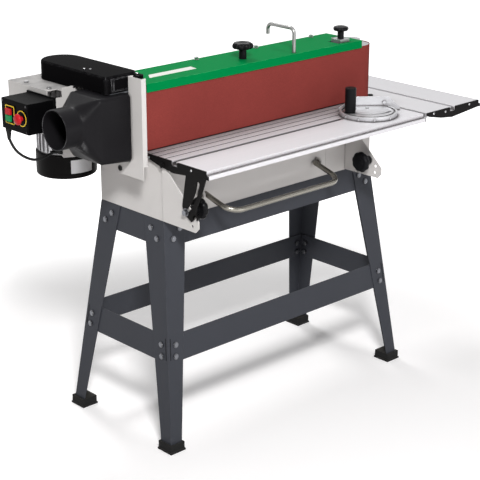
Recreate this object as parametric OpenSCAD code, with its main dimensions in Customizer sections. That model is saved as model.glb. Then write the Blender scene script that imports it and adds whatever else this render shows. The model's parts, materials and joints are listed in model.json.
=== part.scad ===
/* [Stand] */
// Length of the cabinet, which is also the length of the stand at its top
cabinet_len = 758; // [700:1:800]
// Depth of the cabinet, front to back
cabinet_depth = 250; // [230:1:280]
// Height of the stand, floor to the cabinet's lower edge
stand_h = 594; // [480:1:700]
// How far each leg reaches out sideways from top to floor
leg_splay_x = 56; // [30:1:80]
// How far each leg reaches out to the front or back from top to floor
leg_splay_y = 80; // [40:1:100]
// Sheet thickness of legs, aprons and braces
leg_sheet = 2.5; // [2:0.5:4]
// Width of a leg's front flange at its top
leg_front_top = 71; // [60:1:90]
// Width of a leg's front flange at the floor
leg_front_foot = 35; // [30:1:50]
// Width of a leg's side flange at its top
leg_side_top = 78; // [60:1:90]
// Width of a leg's side flange at the floor
leg_side_foot = 38; // [30:1:50]
// Height of the aprons under the cabinet
apron_h = 68; // [50:1:90]
// Height of the low braces
brace_h = 71; // [50:1:90]
// Height of the braces' lower edge above the floor
brace_low = 231; // [150:1:320]
// Height of a rubber foot
foot_h = 24; // [16:1:40]

/* [Cabinet] */
// Height of the cabinet's sheet metal body
cabinet_h = 146; // [140:1:152]
// Sheet thickness of the cabinet
cabinet_sheet = 2; // [1.5:0.5:3]
// Thickness of the steel deck on the cabinet
deck_t = 6; // [5:1:7]
// Length of the bail handle's arms
bail_arm = 100; // [80:1:120]
// Length of the bail handle between its arms
bail_len = 398; // [300:1:440]
// Diameter of the bail handle's rod
bail_d = 14; // [8:1:18]

/* [Tables] */
// Length of the front table
table_len = 790; // [760:1:795]
// Depth of the table extrusion, without its front ledge
table_depth = 226; // [210:1:240]
// Length of the end table
end_table_len = 470; // [420:1:520]
// Width of the slot's mouth in the table top
slot_mouth = 12; // [10:0.5:14]
// Width of the slot's inner part
slot_inner = 20.6; // [18:0.2:22]
// Largest tilt of the front table, in degrees
tilt_max = 40; // [20:1:40]
// Thickness of the end plates and tilt arms
end_plate_t = 3; // [2:0.5:3.5]

/* [Belt unit] */
// Width of the sanding belt
belt_w = 150; // [140:1:152]
// Length of the sanding belt, measured along its middle
belt_len = 2010; // [2000:1:2020]
// Thickness of the sanding belt
belt_t = 1.6; // [1:0.1:2]
// Diameter of both drums
drum_d = 94; // [90:1:98]
// Diameter of the drum shafts
drum_shaft_d = 20; // [16:1:24]
// Thickness of the platen behind the belt
platen_t = 6; // [4:0.5:7]
// Travel of the idler drum when the belt is let loose
idler_travel = 8; // [4:1:8]
// Outside diameter of the dust port
dust_port_d = 100; // [90:1:104]
// Wall of the dust hood and its port
hood_wall = 3; // [2:0.5:4]

/* [Motor] */
// Diameter of the motor's fan cowl
cowl_d = 156; // [146:1:160]
// Diameter of the motor's ribbed body
motor_d = 140; // [130:1:146]
// Diameter of the motor shaft
motor_shaft_d = 19; // [14:1:24]
// Diameter of both pulleys
pulley_d = 64; // [50:1:70]
// Height of the motor's lowest point above the cabinet's lower edge
motor_low = 72; // [57:1:97]
// Diameter of the motor cord
cord_d = 7; // [6:0.5:9]

/* [Switch] */
// Depth of the switch box
switch_depth = 80; // [60:1:90]
// Width of the switch box
switch_w = 109; // [100:1:116]
// Height of the switch box
switch_h = 76; // [70:1:82]
// Travel of the start and stop buttons
button_travel = 3; // [2:0.5:4]
// Diameter of the emergency stop's mushroom
mushroom_d = 28; // [24:1:36]

/* [Mitre gauge] */
// Radius of the mitre gauge's half disc
mitre_r = 78; // [74:1:84]
// Length of the mitre gauge's bar
mitre_bar_len = 200; // [180:1:205]
// Set angle of the mitre gauge in this pose, in degrees
mitre_set = 40; // [0:1:40]

/* [Fits] */
// Radial clearance of a shaft in its bore
run_fit = 0.05; // [0.02:0.01:0.1]
// Gap between sliding or passing faces
slide_gap = 0.3; // [0.2:0.05:0.5]

/* [Hidden] */
fine = 64;
// Cabinet corners in the working frame: x from the front table's left end,
// y from the front face of the sanding belt, z from the floor
cab_x0 = 4;
cab_x1 = cab_x0 + cabinet_len;
cab_y0 = -64;
cab_y1 = cab_y0 + cabinet_depth;
cab_z0 = stand_h;
cab_z1 = cab_z0 + cabinet_h;
deck_z = cab_z1 + deck_t;
table_h = cab_z0 + 167;
panel_x1 = 583;

// Belt unit
belt_z0 = table_h + 1;
belt_z1 = belt_z0 + belt_w;
drum_r = drum_d / 2;
belt_in_r = drum_r + slide_gap;
belt_out_r = belt_in_r + belt_t;
belt_y = belt_out_r;
idler_x = cab_x1 + 40;
drive_x = idler_x - (belt_len - PI * (belt_in_r + belt_out_r)) / 2;
drum_z0 = belt_z0 + 3;
drum_z1 = belt_z1 - 1;
frame_top = belt_z1 + 7;
plate_t = 4;
frame_x0 = 20;
frame_x1 = 740;
frame_y0 = 2.5 + belt_t + 1.5 + platen_t;
frame_y1 = belt_y + belt_in_r - 10;
frame_low_t = 6;
pad_y = belt_t + slide_gap;
cover_top = frame_top + 10.7;
cover_sheet = 1.5;
cover_x0 = 10;
cover_x1 = 786;
cover_y0 = -2.4;
cover_y1 = 135;
back_y = 131;
slide_t = 6;
slide_half = 22;
slide_x0 = 340;
guide_x0 = 600;
guide_x1 = 690;
lock_x = 378;
lever_x = 531;
lever_y = 12;
lever_d = 10;
lever_top = cover_top + 65;
lever_reach = 100;
lever_drop = 28;
track_x = idler_x - 68;
track_y = 31;
screw_xs = [283, 498, 712];
screw_y = 125;
mount_bolts = [[-152, 272], [-152, 176], [44, 300]];
deck_bolts = [[18, 170], [50, 170]];
deck_front = -40;

// Table profile, measured from its rear top edge
rear_y = -4;
top_t = 6;
lip_t = 4;
slot_deep = 12;
slot_wall = 4;
slot_u = 111;
front_face = 11;
ledge = 8;
ledge_face = 10;
groove_w = 4;
groove_deep = 3.5;
groove_us = [21, 48, 76];
end_x0 = table_len + 12;
end_y0 = -230;
end_y1 = end_y0 + end_table_len;
pivot_y = -72;
pivot_z = table_h - 18;
pivot_d = 8;
arm_front = rear_y - table_depth;
lock_y = arm_front + 73;
lock_z = table_h - 118;
lock_r = norm([lock_y - pivot_y, lock_z - pivot_z]);
lock_a = atan2(lock_z - pivot_z, lock_y - pivot_y) + 360;
bracket_t = 3;
bracket_x = [1, table_len - 130.5];
arm_x = bracket_x[1] + bracket_t + 0.7;
bolt_d = 8;

// Motor
motor_x = drive_x;
motor_y = 255;
cowl_h = 59;
cowl_z0 = cab_z0 + motor_low;
body_z0 = cowl_z0 + cowl_h;
terminal_z0 = body_z0 + 11;
terminal_z1 = terminal_z0 + 47;
mount_top = belt_z1 + 2;
mount_t = 2;
mount_x0 = -170;
mount_x1 = 66;
mount_y0 = 139;
mount_y1 = 326;
mount_low = mount_top - 114;
body_z1 = mount_top - mount_t;
stator_d = 92;
rotor_d = 90;
pulley_z0 = frame_top + 17;
pulley_z1 = pulley_z0 + 16;
shaft_top = pulley_z1 + 4;
guard_top = frame_top + 43;
guard_wall = 2.5;
guard_half = 54;
guard_y0 = 10;
lug_y0 = 36;
lug_w = 28;
lug_reach = 30;
lug_h = 14;
lug_gap = 0.8;
terminal_a = 248;
gland_r = 100;

// Dust hood
hood_x0 = -140;
hood_x1 = -47;
hood_y0 = -14;
hood_y1 = 110;
hood_z0 = deck_z - 2;
hood_z1 = belt_z1 + 6;
hood_rise = [12, 3];
port_y = 50;
port_z = table_h + 87;
neck_x0 = -232;
neck_x1 = -186;
collar_w = 3;
collar_h = 2.5;

// Switch box
switch_x1 = mount_x0;
switch_x0 = switch_x1 - switch_depth - 3;
switch_y0 = 128;
switch_y1 = switch_y0 + switch_w;
switch_z0 = mount_top - 91;
switch_z1 = switch_z0 + switch_h;
button_y = 201;
stop_z = switch_z0 + 48;
start_z = switch_z0 + 31;
button_w = 20;
button_hh = 15;
mushroom_y = 149;
mushroom_z = switch_z0 + 39;
mushroom_out = 18;

// Bail handle
bail_y = cab_y0 - 10;
bail_z = cab_z0 + 47;
bail_x0 = (bracket_x[0] + bracket_x[1] + bracket_t - bail_len) / 2 + 1.25;
bail_x1 = bail_x0 + bail_len;
bail_bend = 40;
bail_droop = 15.6;

// Mitre gauge
mitre_x = table_len - 101;
mitre_y = rear_y - slot_u;
bar_x0 = mitre_x - 106;
handle_r = 68;
disc_off = 26;
disc_t = 12;
fence_off = 24;
fence_t = 5;
fence_h = 38;

// Leg construction: the cabinet's rectangle splays down to the floor
front_slope = sqrt(leg_splay_y * leg_splay_y + stand_h * stand_h);
side_slope = sqrt(leg_splay_x * leg_splay_x + stand_h * stand_h);
leg_floor = 6;
apron_bolts = [[50, 26], [28, 49]];
brace_bolts = [[25, brace_low + 46], [24, brace_low + 16]];

// Whole machine, then moved so that the origin is the middle of its footprint
reach_left = switch_x0 - 2 - mushroom_out;
reach_right = end_x0 + table_depth + ledge;
reach_front = rear_y - table_depth - ledge;
reach_back = max(mount_y1, motor_y + cowl_d / 2);
shift = [-(reach_left + reach_right) / 2, -(reach_front + reach_back) / 2, 0];

// Route of the motor cord
cord_a = [-245, 222, switch_z0 - 8];
gland_out = [cos(terminal_a + 270), sin(terminal_a + 270)];
gland_x = motor_x + gland_r * cos(terminal_a) + 35 * gland_out[0];
gland_y = motor_y + gland_r * sin(terminal_a) + 35 * gland_out[1];
gland_z = terminal_z0 + 14;
cord_b = [gland_x + 20 * gland_out[0], gland_y + 20 * gland_out[1], gland_z];
cord_mid = [[-245, 221.5, 797], [-236, 213, 770], [-220, 206, 751.5], [-200, 201, 739.5], [-184, 197, 736],
            [-165, 191.5, 739]];
cord_pts = concat([cord_a + [0, 0, 12], cord_a], [for (p = cord_mid) [p[0], p[1], p[2] + table_h - 761]],
                  [for (k = [0, 10, 23]) cord_b - k * [gland_out[0], gland_out[1], 0]]);
cord_sides = 10;
cord_steps = 4;

function groove(c) = [
    [c - groove_w / 2, 0], [c - groove_w / 2, -groove_deep],
    [c + groove_w / 2, -groove_deep], [c + groove_w / 2, 0]];

function profile(us) = concat(
    [[0, 0]],
    [for (u = us) for (p = groove(u)) p],
    [[slot_u - slot_mouth / 2, 0], [slot_u - slot_mouth / 2, -lip_t],
     [slot_u - slot_inner / 2, -lip_t], [slot_u - slot_inner / 2, -slot_deep],
     [slot_u + slot_inner / 2, -slot_deep], [slot_u + slot_inner / 2, -lip_t],
     [slot_u + slot_mouth / 2, -lip_t], [slot_u + slot_mouth / 2, 0]],
    [[table_depth, 0], [table_depth, -front_face],
     [table_depth + ledge, -front_face], [table_depth + ledge, -front_face - ledge_face],
     [table_depth + ledge - 4, -front_face - ledge_face], [table_depth + ledge - 4, -front_face - 4],
     [table_depth - 4, -front_face - 4], [table_depth - 4, -top_t],
     [slot_u + slot_inner / 2 + slot_wall, -top_t], [slot_u + slot_inner / 2 + slot_wall,
         -slot_deep - slot_wall],
     [slot_u - slot_inner / 2 - slot_wall, -slot_deep - slot_wall],
         [slot_u - slot_inner / 2 - slot_wall, -top_t],
     [5, -top_t], [5, -14], [0, -14]]);
table_outline = profile(groove_us);
end_outline = profile([]);

// End plate outline in the same measure: u towards the front, v up
plate_outline = [
    [0, -0.5], [0, -8], [12, -13], [62, -24], [slot_u - 17, -28], [slot_u - 2, -30],
    [table_depth - 75, -26], [table_depth - 2, -19.5],
    [table_depth + ledge, -front_face - ledge_face], [table_depth + ledge, -front_face - 0.5],
    [table_depth, -front_face - 0.5], [table_depth, -0.5]];

// Slotted tilt arm, in y and height below the table top
arm_outline = [
    [arm_front + 72, -22], [lock_y + 14, -105], [lock_y + 10, -117], [lock_y + 1, -128.5],
    [lock_y - 19, -139], [lock_y - 33, -121], [lock_y - 36, -104], [arm_front + 20, -70], [arm_front, -20]];

function curve(p0, p1, p2, p3, t) =
    0.5 * ((2 * p1) + (p2 - p0) * t + (2 * p0 - 5 * p1 + 4 * p2 - p3) * t * t
    + (3 * p1 - p0 - 3 * p2 + p3) * t * t * t);
function at(pts, i) = pts[max(0, min(len(pts) - 1, i))];
function smooth(pts, steps) = concat(
    [for (i = [0:len(pts) - 2]) for (k = [0:steps - 1])
        curve(at(pts, i - 1), at(pts, i), at(pts, i + 1), at(pts, i + 2), k / steps)],
    [pts[len(pts) - 1]]);
function unit(v) = v / norm(v);
function heading(path, i) = unit(at(path, i + 1) - at(path, i - 1));
function ring(path, i, r, n) =
    let (d = heading(path, i), a = unit(cross(d, [0.37, 0.93, 0])), b = cross(d, a))
    [for (k = [0:n - 1]) path[i] + r * (cos(360 * k / n) * a + sin(360 * k / n) * b)];

module tube(path, r, n) {
    last = len(path) - 1;
    points = [for (i = [0:last]) for (p = ring(path, i, r, n)) p];
    walls = [for (i = [0:last - 1]) for (k = [0:n - 1])
        [i * n + k, i * n + (k + 1) % n, (i + 1) * n + (k + 1) % n, (i + 1) * n + k]];
    near = [for (k = [n - 1:-1:0]) k];
    far = [for (k = [0:n - 1]) last * n + k];
    polyhedron(points, concat([near], walls, [far]));
}

module block(a, b) {
    translate(a) cube([b[0] - a[0], b[1] - a[1], b[2] - a[2]]);
}

module post(x, y, z0, z1, d) {
    translate([x, y, z0]) cylinder(h = z1 - z0, d = d, $fn = fine);
}

module along_x(x0, x1, y, z, d) {
    translate([x0, y, z]) rotate([0, 90, 0]) cylinder(h = x1 - x0, d = d, $fn = fine);
}

module along_y(y0, y1, x, z, d) {
    translate([x, y0, z]) rotate([-90, 0, 0]) cylinder(h = y1 - y0, d = d, $fn = fine);
}

module hex_x(x0, x1, y, z, flats) {
    translate([x0, y, z]) rotate([0, 90, 0]) cylinder(h = x1 - x0, d = flats / cos(30), $fn = 6);
}

module hex_z(x, y, z0, z1, flats) {
    translate([x, y, z0]) cylinder(h = z1 - z0, d = flats / cos(30), $fn = 6);
}

// A y-z outline pushed along x
module sheet_x(x0, t, pts) {
    translate([x0, 0, 0]) rotate([90, 0, 90]) linear_extrude(height = t) polygon(pts);
}

// A x-z outline pushed along y
module sheet_y(y0, t, pts) {
    translate([0, y0 + t, 0]) rotate([90, 0, 0]) linear_extrude(height = t) polygon(pts);
}

module flip(on, v) {
    if (on) {
        mirror(v) children();
    } else {
        children();
    }
}

module place() {
    translate(shift) children();
}

// Lobed hand knob standing on z = 0
module lobed(d, h, lobes, bore) {
    difference() {
        union() {
            cylinder(h = h, d = d - 4, $fn = fine);
            translate([0, 0, 2]) cylinder(h = h - 4, d = d, $fn = fine);
        }
        for (i = [0:lobes - 1]) {
            rotate([0, 0, i * 360 / lobes]) translate([d / 2 + d * 0.05, 0, -1])
                cylinder(h = h + 2, d = d * 0.2, $fn = 32);
        }
        translate([0, 0, -1]) cylinder(h = bore[1] + 1, d = bore[0], $fn = fine);
    }
}

module stadium(r, x0, x1, y, z0, z1) {
    post(x0, y, z0, z1, 2 * r);
    post(x1, y, z0, z1, 2 * r);
    block([x0, y - r, z0], [x1, y + r, z1]);
}

// Stand corner: children are drawn for the front left corner, fold's top at the origin
module corner(right, rear) {
    translate([right ? cab_x1 : cab_x0, rear ? cab_y1 : cab_y0, stand_h])
        flip(right, [1, 0, 0]) flip(rear, [0, 1, 0]) children();
}

// Lay a flat drawing into the splayed front plane, or into the splayed side plane
module front_plane(depth) {
    rotate([atan2(stand_h, leg_splay_y), 0, 0]) translate([0, 0, -depth]) children();
}

module side_plane(depth) {
    mirror([1, -1, 0]) rotate([atan2(stand_h, leg_splay_x), 0, 0]) translate([0, 0, -depth]) children();
}

// Bolt places on one flange: distance from the fold, then distance down the slope
function flange_spots(splay, slope) = concat(
    [for (b = apron_bolts) [b[0] - splay * b[1] / stand_h, -slope * b[1] / stand_h]],
    [for (b = brace_bolts)
        [b[0] - splay * (stand_h - b[1]) / stand_h, -slope * (stand_h - b[1]) / stand_h]]);

module flange_holes(splay, slope) {
    for (s = flange_spots(splay, slope)) {
        translate([s[0], s[1], -20]) cylinder(h = 40, d = bolt_d + 0.4, $fn = 32);
    }
}

module flange_bolts(splay, slope) {
    for (s = flange_spots(splay, slope)) {
        translate([s[0], s[1], 0]) cylinder(h = 3, d = 15, $fn = 32);
        translate([s[0], s[1], 0]) cylinder(h = 4.5, d = 11, $fn = 32);
        translate([s[0], s[1], -2 * leg_sheet - 8]) cylinder(h = 2 * leg_sheet + 8, d = bolt_d, $fn = 32);
        translate([s[0], s[1], -2 * leg_sheet - 6.5]) cylinder(h = 6.5, d = 15, $fn = 6);
    }
}

module flange(splay, slope, w_top, w_foot) {
    difference() {
        linear_extrude(height = leg_sheet)
            polygon([[0, 0], [w_top, 0], [w_foot - splay, -slope], [-splay, -slope]]);
        flange_holes(splay, slope);
    }
}

module leg_corner() {
    intersection() {
        union() {
            front_plane(leg_sheet) flange(leg_splay_x, front_slope, leg_front_top, leg_front_foot);
            side_plane(leg_sheet) flange(leg_splay_y, side_slope, leg_side_top, leg_side_foot);
        }
        block([-200, -200, leg_floor - stand_h], [200, 200, 0]);
    }
}

module leg_front_left() {
    color([0.27, 0.28, 0.3]) place() corner(false, false) leg_corner();
}

module leg_front_right() {
    color([0.27, 0.28, 0.3]) place() corner(true, false) leg_corner();
}

module leg_rear_left() {
    color([0.27, 0.28, 0.3]) place() corner(false, true) leg_corner();
}

module leg_rear_right() {
    color([0.27, 0.28, 0.3]) place() corner(true, true) leg_corner();
}

// One apron or brace between two legs, as drawn in a splayed plane
module rail(span, splay, slope, z_high, z_low) {
    d_high = stand_h - z_high;
    d_low = stand_h - z_low;
    inset = 2 * leg_sheet + 3;
    out = splay * d_high / stand_h;
    difference() {
        linear_extrude(height = leg_sheet)
            polygon([[inset - out, -slope * d_high / stand_h], [span - inset + out,
                -slope * d_high / stand_h],
                     [span - inset + out, -slope * d_low / stand_h], [inset - out,
                         -slope * d_low / stand_h]]);
        flange_holes(splay, slope);
        translate([span, 0, 0]) mirror([1, 0, 0]) flange_holes(splay, slope);
    }
}

module long_rails(z_high, z_low) {
    for (rear = [false, true]) {
        corner(false, rear) front_plane(2 * leg_sheet)
            rail(cabinet_len, leg_splay_x, front_slope, z_high, z_low);
    }
}

module side_rails(z_high, z_low) {
    for (right = [false, true]) {
        corner(right, false) side_plane(2 * leg_sheet)
            rail(cabinet_depth, leg_splay_y, side_slope, z_high, z_low);
    }
}

module stand_aprons() {
    color([0.27, 0.28, 0.3]) place() intersection() {
        union() {
            long_rails(stand_h, stand_h - apron_h);
            side_rails(stand_h, stand_h - apron_h);
        }
        block([-200, -400, 0], [1000, 500, stand_h]);
    }
}

module stand_braces() {
    color([0.27, 0.28, 0.3]) place() {
        long_rails(brace_low + brace_h, brace_low);
        side_rails(brace_low + brace_h, brace_low);
    }
}

module stand_bolts() {
    color([0.7, 0.7, 0.72]) place() for (right = [false, true], rear = [false, true]) {
        corner(right, rear) {
            front_plane(0) flange_bolts(leg_splay_x, front_slope);
            side_plane(0) flange_bolts(leg_splay_y, side_slope);
        }
    }
}

module boot() {
    x = -leg_splay_x;
    y = -leg_splay_y;
    xi = x + 2.6 + leg_sheet;
    yi = y + 3.6 + leg_sheet;
    xe = x + leg_front_foot + 5;
    ye = y + leg_side_foot + 6;
    difference() {
        union() {
            block([x - 4, y - 4, -stand_h], [x + leg_front_foot + 7, y + leg_side_foot + 8,
                foot_h - stand_h]);
            block([x - 6, y - 6, -stand_h], [x + leg_front_foot + 9, y + leg_side_foot + 10, 5 - stand_h]);
        }
        translate([0, 0, leg_floor - stand_h]) linear_extrude(height = foot_h)
            polygon([[x + 0.3, y + 0.4], [xe, y + 0.4], [xe, yi], [xi, yi], [xi, ye], [x + 0.3, ye]]);
    }
}

module rubber_feet() {
    color([0.05, 0.05, 0.05]) place() for (right = [false, true], rear = [false, true]) {
        corner(right, rear) boot();
    }
}

module cabinet_shell() {
    s = cabinet_sheet;
    color([0.78, 0.77, 0.76]) place() difference() {
        block([cab_x0, cab_y0, cab_z0], [cab_x1, cab_y1, cab_z1]);
        block([cab_x0 + s, cab_y0 + s, cab_z0 + s], [cab_x1 - s, cab_y1 - s, cab_z1 - s]);
        block([cab_x0 + 25, cab_y0 + 25, cab_z0 - 1], [cab_x1 - 25, cab_y1 - 25, cab_z1 + 1]);
        block([cab_x0 + s, cab_y0 - 1, cab_z0 + s], [panel_x1, cab_y0 + s, cab_z1 - s]);
    }
}

module bail_lug(x0) {
    difference() {
        union() {
            along_x(x0, x0 + 5, bail_y, bail_z, bail_d + 10);
            block([x0, bail_y, bail_z - bail_d / 2 - 5], [x0 + 5, cab_y0, bail_z + bail_d / 2 + 5]);
        }
        along_x(x0 - 1, x0 + 6, bail_y, bail_z, bail_d + 2 * run_fit);
    }
}

module front_panel() {
    s = cabinet_sheet;
    color([0.78, 0.77, 0.76]) place() {
        block([cab_x0 + s, cab_y0, cab_z0 + s], [panel_x1 - 0.6, cab_y0 + s, cab_z1 - s]);
        bail_lug(bail_x0 - 15);
        bail_lug(bail_x1 + 10);
    }
}

module tilt_bracket(x0, flange_x) {
    difference() {
        union() {
            sheet_x(x0, bracket_t, [
                [cab_y0, cab_z0 + 2], [lock_y - 29, cab_z0 + 2], [lock_y - 41, cab_z0 + 14],
                [lock_y - 41, table_h - 135],
                [pivot_y - 6, pivot_z - 8], [pivot_y + 7, pivot_z + 4], [cab_y0, pivot_z - 4]]);
            along_x(x0, x0 + bracket_t, pivot_y, pivot_z, 17);
            block([flange_x, cab_y0 - 2.5, cab_z0 + 8], [flange_x + 20, cab_y0, cab_z1 - 8]);
        }
        along_x(x0 - 1, x0 + bracket_t + 1, pivot_y, pivot_z, pivot_d + 2 * run_fit);
        along_x(x0 - 1, x0 + bracket_t + 1, lock_y, lock_z, bolt_d + 2 * run_fit);
        along_x(x0 - 1, x0 + bracket_t + 1, lock_y - 20, cab_z0 + 34, 8);
        along_x(x0 - 1, x0 + bracket_t + 1, lock_y - 18, cab_z0 + 16, 8);
        for (z = [cab_z0 + 30, cab_z1 - 40]) {
            along_y(cab_y0 - 5, cab_y0 + 1, flange_x + 12, z, 6.4);
        }
    }
}

module tilt_brackets() {
    color([0.85, 0.84, 0.83]) place() {
        tilt_bracket(bracket_x[0], bracket_x[0] + bracket_t);
        tilt_bracket(bracket_x[1], bracket_x[1] + bracket_t);
    }
}

// Lock bolt seen from its head at x = 0, pointing to +x
module lock_bolt(reach) {
    hex_x(-6, 0, 0, 0, 13);
    along_x(0, 1.5, 0, 0, 20);
    along_x(0, reach, 0, 0, bolt_d);
}

module lock_bolts() {
    head_left = -end_plate_t - slide_gap - 1.5;
    head_right = bracket_x[1] + bracket_t + 1.5;
    jam_left = bracket_x[0] + bracket_t;
    jam_right = bracket_x[1];
    color([0.75, 0.75, 0.77]) place() {
        translate([head_left, lock_y, lock_z]) lock_bolt(jam_left + 40 - head_left);
        hex_x(jam_left, jam_left + 5, lock_y, lock_z, 13);
        translate([head_right, lock_y, lock_z]) mirror([1, 0, 0]) lock_bolt(head_right - jam_right + 31.5);
        hex_x(jam_right - 5, jam_right, lock_y, lock_z, 13);
    }
}

module deck_plate() {
    color([0.6, 0.6, 0.6]) place() difference() {
        union() {
            block([cab_x0, deck_front, cab_z1], [cab_x1, cab_y1, deck_z]);
            block([hood_x1 + 2, -2, cab_z1], [cab_x0, motor_y - cowl_d / 2 - 7.5, deck_z]);
            block([hood_x1 + 2, -52, cab_z1], [hood_x1 + 16, -2, deck_z]);
        }
        block([80, 100, cab_z1 - 1], [700, 116, deck_z + 1]);
        for (p = deck_bolts) {
            post(p[0], p[1], cab_z1 - 1, deck_z + 1, 6.4);
        }
    }
}

module belt_frame() {
    low = deck_z + frame_low_t;
    top = frame_top - plate_t;
    color([0.35, 0.36, 0.38]) place() difference() {
        union() {
            block([drive_x - 40, 12, deck_z], [frame_x1, frame_y1, low]);
            block([frame_x0, frame_y0, low], [frame_x1, frame_y0 + 4, top]);
            block([frame_x0, frame_y0, low], [frame_x0 + 4, frame_y1, top]);
            block([frame_x1 - 4, frame_y0, low], [frame_x1, frame_y1, top]);
            block([drive_x - 40, 12, top], [frame_x0, frame_y1, frame_top]);
            block([frame_x0, 4, top], [frame_x1, frame_y1, frame_top]);
            block([guide_x0, belt_y - slide_half - 4 - slide_gap, frame_top],
                  [guide_x1, belt_y - slide_half - slide_gap, frame_top + slide_t + 2]);
            block([guide_x0, belt_y + slide_half + slide_gap, frame_top],
                  [guide_x1, belt_y + slide_half + 4 + slide_gap, frame_top + slide_t + 2]);
        }
        post(drive_x, belt_y, deck_z - 1, low + 1, drum_shaft_d + 3);
        post(drive_x, belt_y, top - 1, frame_top + 1, drum_shaft_d + 3);
        post(lever_x, lever_y, top - 1, frame_top + 1, lever_d + 2 * run_fit);
        post(lock_x, belt_y, top - 1, frame_top + 1, bolt_d + 2 * run_fit);
    }
}

module platen() {
    y0 = frame_y0 - platen_t;
    color([0.5, 0.5, 0.52]) place()
        block([frame_x0, y0, belt_z0], [frame_x1, frame_y0, belt_z1]);
}

module graphite_pad() {
    y1 = frame_y0 - platen_t;
    color([0.15, 0.15, 0.16]) place()
        block([frame_x0, pad_y, belt_z0], [frame_x1, y1, belt_z1]);
}

module sanding_belt() {
    color([0.51, 0.22, 0.2]) place() difference() {
        stadium(belt_out_r, drive_x, idler_x, belt_y, belt_z0, belt_z1);
        stadium(belt_in_r, drive_x, idler_x, belt_y, belt_z0 - 1, belt_z1 + 1);
    }
}

module top_cover() {
    s = cover_sheet;
    under = cover_top - s;
    color([0, 0.58, 0.29]) place() difference() {
        union() {
            block([cover_x0, cover_y0, under], [cover_x1, cover_y1, cover_top]);
            block([cover_x0, cover_y0, belt_z1 - 4], [cover_x1, cover_y0 + 1.2, under]);
            block([cover_x0, cover_y1 - 1.2, under - 12], [cover_x1, cover_y1, under]);
            block([cover_x0 + 12, 4, frame_top], [cover_x0 + 12 + s, belt_y - slide_half - 6, under]);
            block([cover_x0 + 12, belt_y + slide_half - 14, frame_top], [cover_x0 + 12 + s,
                frame_y1, under]);
        }
        post(lock_x, belt_y, under - 1, cover_top + 1, bolt_d + 2);
        post(lever_x, lever_y, under - 1, cover_top + 1, lever_d + 2);
        block([track_x - 30, track_y - 21, under - 1], [track_x + 22, track_y + 23, cover_top + 1]);
        for (x = screw_xs) {
            post(x, screw_y, under - 1, cover_top + 1, 4.4);
        }
    }
}

module back_cover() {
    s = cover_sheet;
    color([0, 0.58, 0.29]) place() difference() {
        union() {
            block([cover_x0, back_y, deck_z], [cover_x1 - 24, back_y + s, cover_top - s]);
            block([cover_x0, back_y - 12, deck_z], [cover_x1 - 24, back_y, deck_z + s]);
            block([cover_x0, back_y - 13, cover_top - 2 * s], [cover_x1 - 24, back_y, cover_top - s]);
        }
        for (x = screw_xs) {
            post(x, screw_y, cover_top - 10, cover_top, 4.4);
        }
    }
}

// Pan screw with its head standing on z = 0
module pan_screw(d, long) {
    cylinder(h = d * 0.6, d = 2 * d, $fn = 32);
    translate([0, 0, -long]) cylinder(h = long, d = d, $fn = 32);
}

module machine_screws() {
    color([0.8, 0.8, 0.82]) place() {
        for (x = screw_xs) {
            translate([x, screw_y, cover_top]) pan_screw(4, 8);
        }
        for (p = mount_bolts) {
            translate([p[0], p[1], mount_top]) pan_screw(6, 8);
        }
        for (p = deck_bolts) {
            translate([p[0], p[1], deck_z + 2]) pan_screw(6, 7);
        }
        for (x0 = bracket_x, z = [cab_z0 + 30, cab_z1 - 40]) {
            translate([x0 + bracket_t + 12, cab_y0 - 2.5, z]) rotate([90, 0, 0]) pan_screw(6, 2.5);
        }
    }
}

module work_stop() {
    color([0.85, 0.84, 0.83]) place() difference() {
        union() {
            block([hood_x1, -52, table_h - 54], [hood_x1 + 2, -2, table_h + 198]);
            block([hood_x1 + 2, -52, deck_z], [hood_x1 + 14, -50, table_h + 198]);
            block([hood_x1 + 2, -4, belt_z1 + 20], [hood_x1 + 14, -2, table_h + 198]);
            block([hood_x1, -2, table_h - 54], [hood_x1 + 2, 112, hood_z0]);
            block([hood_x1 + 2, -52, deck_z], [hood_x1 + 14, -4, deck_z + 2]);
        }
        along_x(hood_x1 - 1, hood_x1 + 3, 38, table_h - 40, 10);
    }
}

module cable_fittings() {
    color([0.06, 0.06, 0.06]) place() {
        difference() {
            union() {
                along_x(hood_x1 - 2, hood_x1, 38, table_h - 40, 14);
                along_x(hood_x1, hood_x1 + 4, 38, table_h - 40, 10);
            }
            along_x(hood_x1 - 3, hood_x1 + 5, 38, table_h - 40, 6);
        }
        translate([gland_x, gland_y, gland_z]) rotate([0, 0, terminal_a + 270]) difference() {
            along_x(0, 8, 0, 0, 15);
            along_x(-1, 9, 0, 0, cord_d + 3);
        }
        difference() {
            post(cord_a[0], cord_a[1], switch_z0 - 6, switch_z0, 15);
            post(cord_a[0], cord_a[1], switch_z0 - 7, switch_z0 + 1, cord_d + 3);
        }
    }
}

// Hood body and its funnel, grown or shrunk by w
module hood_solid(w) {
    low_left = hood_z0 + hood_rise[0] - w;
    sheet_y(hood_y0 - w, hood_y1 - hood_y0 + 2 * w, [
        [hood_x0 - 0.1, low_left], [hood_x1, hood_z0 + hood_rise[1] - w],
        [hood_x1, hood_z1 + w], [hood_x0 - 0.1, hood_z1 + w]]);
    hull() {
        block([hood_x0 - 1, hood_y0 - w, low_left], [hood_x0, hood_y1 + w, hood_z1 + w]);
        translate([neck_x1 - 1, port_y, port_z]) rotate([0, 90, 0])
            cylinder(h = 1, d = dust_port_d + 2 * w, $fn = 32);
    }
}

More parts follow.
